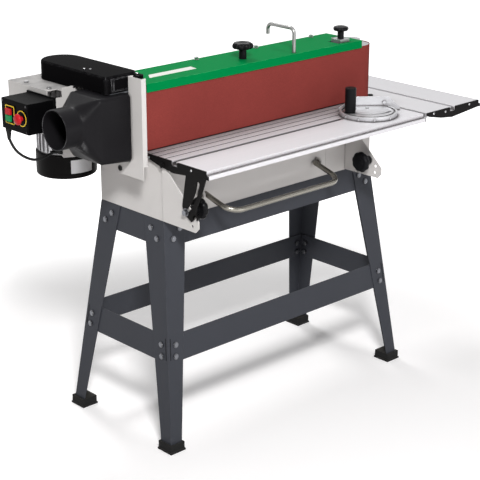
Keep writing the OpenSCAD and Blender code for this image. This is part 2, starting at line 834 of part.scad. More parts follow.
module dust_hood() {
    w = hood_wall;
    color([0.07, 0.07, 0.07]) place() difference() {
        union() {
            hood_solid(0);
            along_x(neck_x0, neck_x1, port_y, port_z, dust_port_d);
            along_x(neck_x1 - collar_w, neck_x1 + 2, port_y, port_z, dust_port_d + 2 * collar_h);
        }
        hood_solid(-w);
        along_x(neck_x0 - 1, neck_x1 + 1, port_y, port_z, dust_port_d - 2 * w);
        block([hood_x1 - 10, hood_y0 + w, hood_z0 + w + hood_rise[1] + 1.2],
              [hood_x1 + 1, hood_y1 - w, hood_z1 - w]);
        block([drive_x - 42, 8, hood_z1 - 10], [hood_x1 + 1, frame_y1 + 3, hood_z1 + 1]);
        block([drive_x - 42, 10, hood_z0 - 1], [hood_x1 + 1, frame_y1 + 2, hood_z0 + w + hood_rise[0]]);
    }
}

module bearing(z0, z1) {
    difference() {
        post(drive_x, belt_y, z0, z1, 52);
        post(drive_x, belt_y, z0 - 1, z1 + 1, drum_shaft_d + 2 * run_fit);
    }
}

module drum_bearings() {
    color([0.45, 0.45, 0.47]) place() {
        bearing(deck_z + frame_low_t, drum_z0 - 2);
        bearing(frame_top, frame_top + 12);
    }
}

module motor_mount() {
    t = mount_t;
    color([0.8, 0.79, 0.78]) place() difference() {
        union() {
            block([mount_x0, mount_y0, mount_top - t], [mount_x1, mount_y1, mount_top]);
            block([mount_x0, mount_y0, mount_low], [mount_x0 + t, mount_y1, mount_top]);
            block([mount_x0, mount_y0, mount_low], [mount_x1, mount_y0 + t, mount_top]);
            block([mount_x1 - t, mount_y0, mount_low], [mount_x1, mount_y1, mount_top]);
            block([mount_x0, mount_y0, mount_top - t], [motor_x - guard_half - 1, mount_y0 + t,
                mount_top + 7]);
            block([6, mount_y0, deck_z], [mount_x1, mount_y0 + t, mount_top]);
            block([mount_x1 - t, mount_y0, deck_z], [mount_x1, 184, mount_top]);
            block([6, mount_y0, deck_z], [mount_x1, 184, deck_z + 2]);
        }
        post(motor_x, motor_y, mount_top - t - 1, mount_top + 1, 46);
        for (p = mount_bolts) {
            post(p[0], p[1], mount_top - t - 1, mount_top + 1, 6.4);
        }
        for (p = deck_bolts) {
            post(p[0], p[1], deck_z - 1, deck_z + 3, 6.4);
        }
        block([mount_x0 - 1, mount_y0 - 1, mount_top - 16], [mount_x0 + 29, mount_y0 + 22, mount_top + 8]);
    }
}

module motor_body() {
    color([0.75, 0.75, 0.77]) place() difference() {
        union() {
            post(motor_x, motor_y, body_z0, body_z1, motor_d);
            post(motor_x, motor_y, body_z1 - 14, body_z1, cowl_d);
            for (i = [0:29]) {
                translate([motor_x, motor_y, 0]) rotate([0, 0, i * 12])
                    block([motor_d / 2 - 4, -1.5, body_z0 + 8], [cowl_d / 2 - 3, 1.5, body_z1 - 10]);
            }
        }
        post(motor_x, motor_y, body_z0 + 6, body_z1 - 16, stator_d);
        post(motor_x, motor_y, body_z0 - 1, body_z1 + 1, motor_shaft_d + 2 * run_fit);
        difference() {
            translate([motor_x, motor_y, 0]) rotate([0, 0, terminal_a])
                block([motor_d / 2 - 20, -38, terminal_z0 - 1], [cowl_d, 38, terminal_z1 + 4]);
            post(motor_x, motor_y, body_z0, body_z1, motor_d);
        }
    }
}

module fan_cowl() {
    color([0.06, 0.06, 0.06]) place() difference() {
        union() {
            post(motor_x, motor_y, cowl_z0, body_z0 + 2, cowl_d);
        }
        post(motor_x, motor_y, cowl_z0 + 2, body_z0 - 0.5, cowl_d - 4);
        post(motor_x, motor_y, body_z0 - 2, body_z0 + 3, motor_d);
        for (i = [0:11]) {
            translate([motor_x, motor_y, 0]) rotate([0, 0, i * 30])
                post(42, 0, cowl_z0 - 1, cowl_z0 + 3, 12);
        }
        for (i = [0:5]) {
            translate([motor_x, motor_y, 0]) rotate([0, 0, i * 60])
                post(22, 0, cowl_z0 - 1, cowl_z0 + 3, 10);
        }
    }
}

module terminal_box() {
    color([0.76, 0.75, 0.74]) place() difference() {
        translate([motor_x, motor_y, 0]) rotate([0, 0, terminal_a])
            block([motor_d / 2 - 6, -35, terminal_z0], [114, 35, terminal_z1]);
        translate([motor_x, motor_y, 0]) rotate([0, 0, terminal_a])
            block([motor_d / 2 + 8, -32, terminal_z0 + 2], [111, 32, terminal_z1 - 3]);
        post(motor_x, motor_y, body_z0, body_z1, motor_d);
        translate([gland_x, gland_y, gland_z]) rotate([0, 0, terminal_a + 270])
            along_x(-5, 1, 0, 0, cord_d + 1);
    }
}

module guard_solid(w, z_front, z_rear, z_top) {
    h = guard_half - w;
    block([motor_x - h, guard_y0 + w, z_front], [motor_x + h, mount_y0 + 4, z_top]);
    block([motor_x - h, mount_y0 + 2, z_rear], [motor_x + h, motor_y, z_top]);
    post(motor_x, motor_y, z_rear, z_top, 2 * h);
}

module belt_guard() {
    color([0.06, 0.06, 0.06]) place() difference() {
        union() {
            guard_solid(0, frame_top + 1, mount_top, guard_top);
            block([motor_x - 30, guard_y0 - 2, frame_top + 8], [motor_x + 16, guard_y0 + 1, guard_top - 8]);
            block([motor_x + guard_half - guard_wall, lug_y0, cover_top + lug_gap],
                  [motor_x + guard_half + lug_reach, lug_y0 + lug_w, cover_top + lug_gap + lug_h]);
        }
        guard_solid(guard_wall, frame_top, mount_top - 1, guard_top - guard_wall);
        translate([motor_x + guard_half, guard_y0, frame_top - 4]) rotate([0, 0, 45])
            block([-14, -14, 0], [14, 14, 60]);
    }
    color([0.06, 0.06, 0.06]) place()
        translate([motor_x + guard_half, guard_y0, 0]) rotate([0, 0, 45])
            block([-14, 14, frame_top + 1], [14, 14 + guard_wall, guard_top]);
}

module pulley(x, y, bore) {
    difference() {
        union() {
            post(x, y, pulley_z0, pulley_z1, pulley_d);
        }
        post(x, y, pulley_z0 - 1, pulley_z1 + 1, bore);
    }
}

module v_belt() {
    in_r = pulley_d / 2 + slide_gap;
    color([0.08, 0.08, 0.08]) place() difference() {
        union() {
            post(drive_x, belt_y, pulley_z0 + 2, pulley_z1 - 2, 2 * in_r + 8);
            post(motor_x, motor_y, pulley_z0 + 2, pulley_z1 - 2, 2 * in_r + 8);
            block([motor_x - in_r - 4, belt_y, pulley_z0 + 2], [motor_x + in_r + 4, motor_y,
                pulley_z1 - 2]);
        }
        post(drive_x, belt_y, pulley_z0, pulley_z1, 2 * in_r);
        post(motor_x, motor_y, pulley_z0, pulley_z1, 2 * in_r);
        block([motor_x - in_r, belt_y, pulley_z0], [motor_x + in_r, motor_y, pulley_z1]);
    }
}

module switch_box() {
    x0 = switch_x0;
    color([0.06, 0.06, 0.06]) place() difference() {
        union() {
            block([x0, switch_y0, switch_z0], [switch_x1, switch_y1, switch_z1]);
            block([switch_x1 - 4, switch_y0 - 4, switch_z0 - 4], [switch_x1, switch_y1 + 4, switch_z1 + 4]);
        }
        block([x0 + 3, switch_y0 + 3, switch_z0 + 3], [switch_x1 - 3, switch_y1 - 3, switch_z1 - 3]);
        for (z = [stop_z, start_z]) {
            block([x0 - 1, button_y - button_w / 2 - slide_gap, z - button_hh / 2 - slide_gap],
                  [x0 + 4, button_y + button_w / 2 + slide_gap, z + button_hh / 2 + slide_gap]);
        }
        along_x(x0 - 1, x0 + 4, mushroom_y, mushroom_z, 12 + 2 * slide_gap);
        post(cord_a[0], cord_a[1], switch_z0 - 5, switch_z0 + 4, cord_d + 1);
    }
}

module switch_plate() {
    x0 = switch_x0;
    color([0.85, 0.72, 0.1]) place() {
        difference() {
            block([x0 - 2, 177, switch_z0 + 14], [x0, 217, switch_z0 + 64]);
            for (z = [stop_z, start_z]) {
                block([x0 - 3, button_y - button_w / 2 - slide_gap, z - button_hh / 2 - slide_gap],
                      [x0 + 1, button_y + button_w / 2 + slide_gap, z + button_hh / 2 + slide_gap]);
            }
        }
        difference() {
            along_x(x0 - 2, x0, mushroom_y, mushroom_z, 40);
            along_x(x0 - 3, x0 + 1, mushroom_y, mushroom_z, 12 + 2 * slide_gap);
        }
    }
}

module push_button(z) {
    block([switch_x0 - 7, button_y - button_w / 2, z - button_hh / 2],
          [switch_x0 + 4, button_y + button_w / 2, z + button_hh / 2]);
    block([switch_x0 + 3 + slide_gap, button_y - button_w / 2 - 2, z - button_hh / 2 + 1],
          [switch_x0 + 6, button_y + button_w / 2 + 2, z + button_hh / 2 - 1]);
}

module start_button() {
    color([0.05, 0.5, 0.15]) place() push_button(start_z);
}

module stop_button() {
    color([0.75, 0.06, 0.05]) place() push_button(stop_z);
}

module emergency_stop() {
    x0 = switch_x0 - 2 - mushroom_out;
    color([0.75, 0.06, 0.05]) place() {
        along_x(x0 + 2, x0 + 10, mushroom_y, mushroom_z, mushroom_d);
        along_x(x0, x0 + 2, mushroom_y, mushroom_z, mushroom_d - 5);
        along_x(x0 + 10, switch_x0 + 4, mushroom_y, mushroom_z, 12);
        along_x(switch_x0 + 3 + slide_gap, switch_x0 + 6, mushroom_y, mushroom_z, 16);
    }
}

module motor_cord() {
    color([0.05, 0.05, 0.05]) place() tube(smooth(cord_pts, cord_steps), cord_d / 2, cord_sides);
}

module drive_drum() {
    color([0.2, 0.2, 0.21]) place() {
        post(drive_x, belt_y, deck_z + 2, shaft_top, drum_shaft_d);
        difference() {
            post(drive_x, belt_y, drum_z0, drum_z1, drum_d);
            post(drive_x, belt_y, drum_z0 + 10, drum_z1 - 10, drum_d - 12);
        }
    }
}

module drum_pulley() {
    color([0.4, 0.4, 0.42]) place() pulley(drive_x, belt_y, drum_shaft_d);
}

module motor_rotor() {
    color([0.55, 0.55, 0.57]) place() {
        post(motor_x, motor_y, cowl_z0 + 12, shaft_top, motor_shaft_d);
        post(motor_x, motor_y, body_z0 + 26, body_z1 - 40, rotor_d);
    }
}

module motor_fan() {
    z0 = cowl_z0 + 18;
    z1 = body_z0 - 18;
    color([0.1, 0.1, 0.1]) place() difference() {
        union() {
            post(motor_x, motor_y, z0, z1, motor_shaft_d + 14);
            post(motor_x, motor_y, z1 - 3, z1, cowl_d - 40);
            for (i = [0:6]) {
                translate([motor_x, motor_y, 0]) rotate([0, 0, i * 360 / 7])
                    block([8, -1.2, z0], [cowl_d / 2 - 20, 1.2, z1]);
            }
        }
        post(motor_x, motor_y, z0 - 1, z1 + 1, motor_shaft_d);
    }
}

module motor_pulley() {
    color([0.4, 0.4, 0.42]) place() pulley(motor_x, motor_y, motor_shaft_d);
}

module idler_slide() {
    color([0.62, 0.62, 0.64]) place() difference() {
        union() {
            block([slide_x0, belt_y - slide_half, frame_top], [idler_x, belt_y + slide_half,
                frame_top + slide_t]);
            post(idler_x, belt_y, frame_top, frame_top + slide_t, 2 * slide_half);
            post(idler_x, belt_y, belt_z0 + 0.8, frame_top, drum_shaft_d);
            post(idler_x, belt_y, belt_z0 + 0.8, drum_z0 - slide_gap, drum_shaft_d + 8);
            post(idler_x, belt_y, drum_z1 + slide_gap, frame_top, drum_shaft_d + 8);
            block([track_x - 18, track_y - 17, frame_top + slide_t - 1],
                  [track_x + 18, track_y + 19, cover_top + 8]);
            block([track_x - 18, track_y - 17, frame_top], [track_x + 18, track_y + 19,
                frame_top + slide_t]);
        }
        block([lock_x - bolt_d / 2 - 2, belt_y - bolt_d / 2 - 1, frame_top - 1],
              [lock_x + bolt_d / 2 + idler_travel + 2, belt_y + bolt_d / 2 + 1, frame_top + slide_t + 1]);
        post(track_x, track_y, frame_top + 2, cover_top + 9, bolt_d + 2 * run_fit);
    }
}

module idler_drum() {
    color([0.2, 0.2, 0.21]) place() difference() {
        post(idler_x, belt_y, drum_z0, drum_z1, drum_d);
        post(idler_x, belt_y, drum_z0 - 1, drum_z1 + 1, drum_shaft_d + 2 * run_fit);
        difference() {
            post(idler_x, belt_y, drum_z0 + 12, drum_z1 - 12, drum_d - 12);
            post(idler_x, belt_y, drum_z0, drum_z1, drum_shaft_d + 14);
        }
    }
}

// Quarter bend of a rod: from +x at the origin's right, turning up
module bend(r, d) {
    rotate_extrude(angle = 90, $fn = fine) translate([r, 0]) circle(d = d, $fn = 32);
}

module tension_lever() {
    r = 15;
    color([0.8, 0.8, 0.82]) place() {
        post(lever_x, lever_y, frame_top - plate_t, lever_top - r, lever_d);
        post(lever_x, lever_y, frame_top + slide_gap, cover_top - cover_sheet - slide_gap, lever_d + 12);
        translate([lever_x, lever_y + r, lever_top - r]) mirror([0, 1, 0]) rotate([90, 0, 90])
            bend(r, lever_d);
        along_y(lever_y + r, lever_y + lever_reach - r, lever_x, lever_top, lever_d);
        translate([lever_x, lever_y + lever_reach - r, lever_top - r]) rotate([90, 0, 90]) bend(r, lever_d);
        post(lever_x, lever_y + lever_reach, lever_top - lever_drop, lever_top - r, lever_d);
    }
}

module lock_knob() {
    color([0.06, 0.06, 0.06]) place() {
        translate([lock_x, belt_y, cover_top + slide_gap + 26]) lobed(57, 17, 7, [4, 0.5]);
        post(lock_x, belt_y, cover_top + slide_gap, cover_top + slide_gap + 26, 20);
        post(lock_x, belt_y, frame_top - plate_t, cover_top + slide_gap, bolt_d);
    }
}

module tracking_knob() {
    z0 = cover_top + 8 + slide_gap;
    color([0.06, 0.06, 0.06]) place() {
        translate([track_x, track_y, z0 + 20]) lobed(43, 13, 24, [4, 0.5]);
        post(track_x, track_y, z0, z0 + 20, 18);
        post(track_x, track_y, frame_top + slide_t, z0, bolt_d);
    }
}

module table_bar() {
    sheet_x(0, table_len, [for (p = table_outline) [rear_y - p[0], table_h + p[1]]]);
}

module table_top() {
    color([0.88, 0.88, 0.89]) place() table_bar();
}

module arm_slot(x0, t) {
    w = bolt_d + 2 * slide_gap + 0.6;
    for (k = [0:1:8]) {
        a = lock_a - k * (tilt_max + 1.6) / 8;
        along_x(x0 - 1, x0 + t + 1, pivot_y + lock_r * cos(a), pivot_z + lock_r * sin(a), w);
    }
    intersection() {
        difference() {
            along_x(x0 - 1, x0 + t + 1, pivot_y, pivot_z, 2 * lock_r + w);
            along_x(x0 - 2, x0 + t + 2, pivot_y, pivot_z, 2 * lock_r - w);
        }
        sheet_x(x0 - 1, t + 2, [
            [pivot_y, pivot_z],
            [pivot_y + 200 * cos(lock_a), pivot_z + 200 * sin(lock_a)],
            [pivot_y + 240 * cos(lock_a - tilt_max / 2), pivot_z + 240 * sin(lock_a - tilt_max / 2)],
            [pivot_y + 200 * cos(lock_a - tilt_max - 1.6), pivot_z + 200 * sin(lock_a - tilt_max - 1.6)]]);
    }
}

module slot_notch(x0, t) {
    y = rear_y - slot_u;
    block([x0 - 1, y - slot_inner / 2 - 1, table_h - slot_deep - 1],
          [x0 + t + 1, y + slot_inner / 2 + 1, table_h + 1]);
}

module plate_sheet(x0, t) {
    sheet_x(x0, t, [for (p = plate_outline) [rear_y - p[0], table_h + p[1]]]);
}

module table_end_plates() {
    t = end_plate_t;
    color([0.06, 0.06, 0.06]) place() {
        difference() {
            union() {
                plate_sheet(-t, t);
                sheet_x(-t, t, [for (p = arm_outline) [p[0], table_h + p[1]]]);
            }
            slot_notch(-t, t);
            arm_slot(-t, t);
            along_x(-t - 1, 1, pivot_y, pivot_z, pivot_d);
        }
        difference() {
            plate_sheet(table_len, t);
            slot_notch(table_len, t);
        }
    }
}

module tilt_arm() {
    t = end_plate_t;
    color([0.06, 0.06, 0.06]) place() difference() {
        union() {
            plate_sheet(arm_x, t);
            block([arm_x, arm_front + 10, table_h - top_t - 3], [arm_x + 22, arm_front + 90,
                table_h - top_t]);
        }
        block([arm_x - 1, rear_y - table_depth - 20, table_h - top_t], [arm_x + 30, rear_y + 1,
            table_h + 1]);
        block([arm_x - 1, rear_y - table_depth - 20, table_h - 30], [arm_x + 30,
            rear_y - table_depth + 5, table_h]);
        block([arm_x - 1, rear_y - slot_u - slot_inner / 2 - slot_wall, table_h - slot_deep - slot_wall],
              [arm_x + 30, rear_y - slot_u + slot_inner / 2 + slot_wall, table_h]);
        difference() {
            block([arm_x - 1, pivot_y, table_h - 40], [arm_x + 30, rear_y + 1, table_h]);
            along_x(arm_x - 2, arm_x + 31, pivot_y, pivot_z, 15);
        }
        along_x(arm_x - 1, arm_x + t + 1, pivot_y, pivot_z, pivot_d);
    }
}

module pivot_pins() {
    in_left = bracket_x[0] + bracket_t;
    in_right = bracket_x[1];
    color([0.75, 0.75, 0.77]) place() {
        along_x(-end_plate_t - 0.5, in_left + 6, pivot_y, pivot_z, pivot_d);
        hex_x(-end_plate_t - 5, -end_plate_t, pivot_y, pivot_z, 12);
        hex_x(in_left + slide_gap, in_left + slide_gap + 5, pivot_y, pivot_z, 12);
        along_x(in_right - 6, arm_x + end_plate_t + 0.5, pivot_y, pivot_z, pivot_d);
        hex_x(arm_x + end_plate_t, arm_x + end_plate_t + 5, pivot_y, pivot_z, 12);
        hex_x(in_right - slide_gap - 5, in_right - slide_gap, pivot_y, pivot_z, 12);
    }
}

// Lock knob on the x axis, its stem's open end at x = 0
module clamp_knob() {
    rotate([0, 90, 0]) difference() {
        union() {
            cylinder(h = 24, d = 20, $fn = fine);
            translate([0, 0, 22]) lobed(57, 16, 7, [4, 0.5]);
        }
        translate([0, 0, -1]) cylinder(h = 36, d = bolt_d + 2 * run_fit, $fn = fine);
    }
}

module left_lock_knob() {
    color([0.06, 0.06, 0.06]) place()
        translate([bracket_x[0] + bracket_t + 5 + slide_gap, lock_y, lock_z]) clamp_knob();
}

module right_lock_knob() {
    color([0.06, 0.06, 0.06]) place()
        translate([bracket_x[1] - 5 - slide_gap, lock_y, lock_z]) mirror([1, 0, 0]) clamp_knob();
}

module bail_handle() {
    r = bail_bend;
    color([0.55, 0.55, 0.57]) place() translate([0, bail_y, bail_z]) rotate([bail_droop, 0, 0]) {
        along_x(bail_x0 - 18, bail_x0, 0, 0, bail_d);
        along_x(bail_x1, bail_x1 + 18, 0, 0, bail_d);
        for (x = [bail_x0, bail_x1]) {
            translate([x, 0, 0]) sphere(d = bail_d, $fn = 32);
            along_y(r - bail_arm, 0, x, 0, bail_d);
        }
        translate([bail_x0 + r, r - bail_arm, 0]) rotate([0, 0, 180]) bend(r, bail_d);
        translate([bail_x1 - r, r - bail_arm, 0]) rotate([0, 0, 270]) bend(r, bail_d);
        along_x(bail_x0 + r, bail_x1 - r, -bail_arm, 0, bail_d);
    }
}

module mitre_bar() {
    y = mitre_y;
    half_in = slot_inner / 2 - slide_gap;
    half_out = slot_mouth / 2 - slide_gap;
    z0 = table_h - slot_deep + slide_gap;
    color([0.78, 0.78, 0.8]) place() {
        block([bar_x0, y - half_in, z0], [bar_x0 + mitre_bar_len, y + half_in,
            table_h - lip_t - slide_gap]);
        block([bar_x0, y - half_out, z0], [bar_x0 + mitre_bar_len, y + half_out, table_h]);
        post(mitre_x, y, z0, table_h + disc_t + 2, 10);
        post(mitre_x - handle_r, y, z0, table_h + disc_t + 30, bolt_d);
    }
}

// Mitre head about its pivot: the fence faces +y, the disc's middle lies towards -y
module head_shape() {
    r = mitre_r;
    difference() {
        union() {
            intersection() {
                translate([0, -disc_off, 0]) cylinder(h = disc_t, r = r, $fn = fine);
                block([-r - 1, -r - disc_off - 1, -1], [r + 1, fence_off + 1, disc_t + 1]);
            }
            sheet_y(fence_off, fence_t, [
                [-75, 0], [94, 0], [94, 8], [62, fence_h], [-28, fence_h], [-75, 8]]);
            for (a = [-150, -118, -86, -50]) {
                translate([0, -disc_off, 0]) rotate([0, 0, a]) translate([r - 1, 0, 0])
                    cylinder(h = disc_t - 4, d = 7, $fn = 32);
            }
            translate([50, fence_off, 22]) rotate([90, 0, 0]) cylinder(h = 5, d = 9, $fn = 32);
        }
        translate([0, 0, -1]) cylinder(h = disc_t + 2, d = 10 + 2 * run_fit, $fn = fine);
        intersection() {
            difference() {
                translate([0, 0, -1]) cylinder(h = disc_t + 2, r = handle_r + 4.6, $fn = fine);
                translate([0, 0, -2]) cylinder(h = disc_t + 4, r = handle_r - 4.6, $fn = fine);
            }
            linear_extrude(height = disc_t + 1)
                polygon([[0, 0], [150 * sin(-58), -150 * cos(58)], [-60, -200], [60, -200],
                         [150 * sin(58), -150 * cos(58)]]);
        }
        for (a = [-148, -32]) {
            rotate([0, 0, a]) translate([handle_r, 0, -1]) cylinder(h = disc_t + 2, d = 8.8, $fn = 32);
        }
        intersection() {
            translate([0, -disc_off, disc_t - 4]) difference() {
                cylinder(h = 5, r = r - 5, $fn = fine);
                translate([0, 0, -1]) cylinder(h = 7, r = r - 11, $fn = fine);
            }
            block([-r, -r - disc_off, disc_t - 5], [r, fence_off - 3, disc_t + 2]);
        }
    }
}

module mitre_head() {
    color([0.8, 0.8, 0.82]) place()
        translate([mitre_x, mitre_y, table_h + slide_gap]) rotate([0, 0, -mitre_set]) head_shape();
}

module mitre_handle() {
    z0 = table_h + slide_gap + disc_t + slide_gap;
    color([0.06, 0.06, 0.06]) place() translate([mitre_x - handle_r, mitre_y, z0]) difference() {
        union() {
            cylinder(h = 68, d = 28, $fn = fine);
            translate([0, 0, 5]) cylinder(h = 61, d = 30, $fn = fine);
        }
        translate([0, 0, -1]) cylinder(h = 31, d = bolt_d + 2 * run_fit, $fn = fine);
    }
}

module end_table_top() {
    color([0.88, 0.88, 0.89]) place()
        sheet_y(end_y0, end_table_len, [for (p = end_outline) [end_x0 + p[0], table_h + p[1]]]);
}

module end_table_plates() {
    t = end_plate_t;
    pts = [for (p = plate_outline) [end_x0 + p[0], table_h + p[1]]];
    cut = end_x0 + slot_u;
    color([0.06, 0.06, 0.06]) place() {
        difference() {
            union() {
                sheet_y(end_y0 - t, t, pts);
                sheet_y(end_y1, t, pts);
            }
            block([cut - slot_inner / 2 - 1, end_y0 - 10, table_h - slot_deep - 1],
                  [cut + slot_inner / 2 + 1, end_y1 + 10, table_h + 1]);
        }
        post(end_x0 + 37, end_y0 + 237, table_h, table_h + 4, 14);
    }
}

module end_table_support() {
    top = table_h - slot_deep - slot_wall;
    color([0.35, 0.36, 0.38]) place() for (y = [end_y0 + 210, end_y0 + 360]) {
        difference() {
            block([cab_x1, y, top - 30], [end_x0 + 190, y + 30, top]);
            block([cab_x1 + 6, y + 2, top - 28], [end_x0 + 191, y + 28, top - 2]);
        }
    }
}

leg_front_left();
leg_front_right();
leg_rear_left();
leg_rear_right();
stand_aprons();
stand_braces();
stand_bolts();
rubber_feet();
cabinet_shell();
front_panel();
tilt_brackets();
lock_bolts();
deck_plate();
belt_frame();
platen();
graphite_pad();
sanding_belt();
top_cover();
back_cover();
machine_screws();
work_stop();
cable_fittings();
dust_hood();
drum_bearings();
motor_mount();
motor_body();
fan_cowl();
terminal_box();
belt_guard();
v_belt();
switch_box();
switch_plate();
start_button();
stop_button();
emergency_stop();
motor_cord();
drive_drum();
drum_pulley();
motor_rotor();
motor_fan();
motor_pulley();
idler_slide();
idler_drum();
tension_lever();
lock_knob();
tracking_knob();
table_top();
table_end_plates();
tilt_arm();
pivot_pins();
left_lock_knob();
right_lock_knob();
bail_handle();
mitre_bar();
mitre_head();
mitre_handle();
end_table_top();
end_table_plates();
end_table_support();
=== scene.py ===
# %% [markdown]
# # Dressing a belt edge sander
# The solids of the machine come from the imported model: every sheet, rod, drum and bolt already has its
# place and size. This lesson gives them their finishes, replaces the few pieces that need rounder
# forms than the solids have, and lights the machine as in a plain studio.

# %% Load the machine
import json
import math
import bmesh
import bpy
from mathutils import Matrix, Vector

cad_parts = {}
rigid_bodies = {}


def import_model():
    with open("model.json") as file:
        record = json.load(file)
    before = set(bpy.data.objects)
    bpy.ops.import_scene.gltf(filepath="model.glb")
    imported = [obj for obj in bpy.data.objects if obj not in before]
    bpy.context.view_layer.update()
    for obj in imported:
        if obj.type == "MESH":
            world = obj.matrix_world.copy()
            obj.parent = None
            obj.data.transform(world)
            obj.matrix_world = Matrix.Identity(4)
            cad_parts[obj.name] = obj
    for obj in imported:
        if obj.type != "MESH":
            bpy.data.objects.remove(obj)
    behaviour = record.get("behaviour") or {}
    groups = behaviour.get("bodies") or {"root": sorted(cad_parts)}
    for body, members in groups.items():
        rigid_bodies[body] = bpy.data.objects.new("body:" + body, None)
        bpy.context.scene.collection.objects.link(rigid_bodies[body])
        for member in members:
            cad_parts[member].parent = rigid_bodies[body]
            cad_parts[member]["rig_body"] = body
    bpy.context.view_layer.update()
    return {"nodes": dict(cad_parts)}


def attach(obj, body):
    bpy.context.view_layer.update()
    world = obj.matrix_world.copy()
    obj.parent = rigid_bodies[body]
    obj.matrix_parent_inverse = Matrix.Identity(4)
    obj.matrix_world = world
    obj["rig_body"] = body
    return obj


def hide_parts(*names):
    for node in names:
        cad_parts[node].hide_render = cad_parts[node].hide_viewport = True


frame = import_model()
nodes = frame["nodes"]

# %% [markdown]
# The machine was measured in millimetres from the front table's left end, from the sanding belt's front
# face and from the floor. `at` turns such a measure into the model's own frame, in metres, whose origin
# is the middle of the footprint. The drive drum's place follows from the idler's and from the belt's loop:
# what the loop has left after its two half turns is twice the distance between the drums.

# %% Working frame
SHIFT = (381.5, 47.5)


def at(x, y, z):
    return Vector(((x - SHIFT[0]) / 1000, (y - SHIFT[1]) / 1000, z / 1000))


COVER_TOP = 929.7
IDLER_X = 802
BELT_LOOP = 2010
BELT_IN_R = 47.3
BELT_OUT_R = 48.9
BELT_AXIS_Y = BELT_OUT_R
DRIVE_X = IDLER_X - (BELT_LOOP - math.pi * (BELT_IN_R + BELT_OUT_R)) / 2
print("drive drum stands at", [round(v, 4) for v in at(DRIVE_X, BELT_AXIS_Y, 0)])

# %% [markdown]
# ## The camera
# The photograph was taken with a long lens from the front left, looking a little down. The place and the
# lens were solved from the edges of the tables, the belt and the stand, so the camera needs no shift.

# %% Camera
CAMERA_PLACE = (-2101.7, -2589.1, 1717.1)
CAMERA_TILT = 70.363
CAMERA_TURN = -43.117
view = bpy.data.cameras.new("studio_camera")
view.lens = 105.12
view.sensor_width = 36
view.clip_end = 100
camera = bpy.data.objects.new("studio_camera", view)
bpy.context.scene.collection.objects.link(camera)
camera.location = at(*CAMERA_PLACE)
camera.rotation_euler = (math.radians(CAMERA_TILT), 0, math.radians(CAMERA_TURN))
bpy.context.scene.camera = camera
print("camera at", [round(v, 3) for v in camera.location])

# %% [markdown]
# ## Small helpers
# A mesh is made from points and faces, then shaded smooth up to an angle, so that round forms look round
# and folded edges stay crisp. `turned` spins a profile about an axis, which gives knob stems, screw heads
# and the mushroom of the emergency stop.

# %% Mesh helpers
def piece(name, points, faces, smooth_angle=35):
    """Object from points in metres and faces, smooth where its faces meet below an angle in degrees."""
    mesh = bpy.data.meshes.new(name)
    mesh.from_pydata([tuple(p) for p in points], [], faces)
    bm = bmesh.new()
    bm.from_mesh(mesh)
    bmesh.ops.remove_doubles(bm, verts=bm.verts, dist=1e-6)
    bmesh.ops.recalc_face_normals(bm, faces=bm.faces)
    for edge in bm.edges:
        edge.smooth = len(edge.link_faces) == 2 and edge.calc_face_angle(0) < math.radians(smooth_angle)
    for face in bm.faces:
        face.smooth = True
    bm.to_mesh(mesh)
    bm.free()
    made = bpy.data.objects.new(name, mesh)
    bpy.context.scene.collection.objects.link(made)
    return made


def stand_on(place, axis):
    """Matrix that puts a form drawn along +Z at a place, pointing along an axis."""
    turn = Vector((0, 0, 1)).rotation_difference(Vector(axis).normalized()).to_matrix().to_4x4()
    return Matrix.Translation(place) @ turn


def spun(profile, place, axis, sides=64, lobes=0, deep=0.0, start=0):
    """Points and faces of a profile [(radius, height, lobe share)] in metres, spun about an axis."""
    points, faces = [], []
    put = stand_on(place, axis)
    for radius, height, share in profile:
        for k in range(sides):
            a = 2 * math.pi * k / sides
            r = radius * (1 - share * deep * (0.5 - 0.5 * math.cos(lobes * a)) ** 1.6)
            points.append(put @ Vector((r * math.cos(a), r * math.sin(a), height)))
    for i in range(len(profile) - 1):
        for k in range(sides):
            n = (k + 1) % sides
            faces.append([start + i * sides + k, start + i * sides + n,
                          start + (i + 1) * sides + n, start + (i + 1) * sides + k])
    return points, faces


def turned(name, profile, place, axis, sides=64, lobes=0, deep=0.0):
    """Piece from a profile in mm, spun about an axis; a third value is a point's share in the lobes."""
    scaled = [(p[0] / 1000, p[1] / 1000, p[2] if len(p) > 2 else 0) for p in profile]
    return piece(name, *spun(scaled, place, axis, sides, lobes, deep))


print("helpers ready: piece, stand_on, spun, turned")

# %% [markdown]
# ## The motor cord
# A black lead leaves the switch box downwards, sags in one loop and goes back up into the motor's
# terminal box. A curve with a round bevel would do, but a mesh tube has a true box of its own, so rings of
# points are carried along one smooth line through the same points as the solid's.

# %% Motor cord
MOTOR = (DRIVE_X, 255.0)
TERMINAL = math.radians(248)
TERMINAL_REACH = 100
TERMINAL_HALF = 35
OUT = (math.cos(TERMINAL + 1.5 * math.pi), math.sin(TERMINAL + 1.5 * math.pi))
GLAND = (MOTOR[0] + TERMINAL_REACH * math.cos(TERMINAL) + TERMINAL_HALF * OUT[0],
         MOTOR[1] + TERMINAL_REACH * math.sin(TERMINAL) + TERMINAL_HALF * OUT[1], 750)
LEAD_R = 0.0035
cord_route = [(-245, 222, 827), (-245, 222, 815), (-245, 221.5, 797), (-236, 213, 770), (-220, 206, 751.5),
              (-200, 201, 739.5), (-184, 197, 736), (-165, 191.5, 739)]
cord_route += [(GLAND[0] + k * OUT[0], GLAND[1] + k * OUT[1], GLAND[2]) for k in (20, 10, -3)]


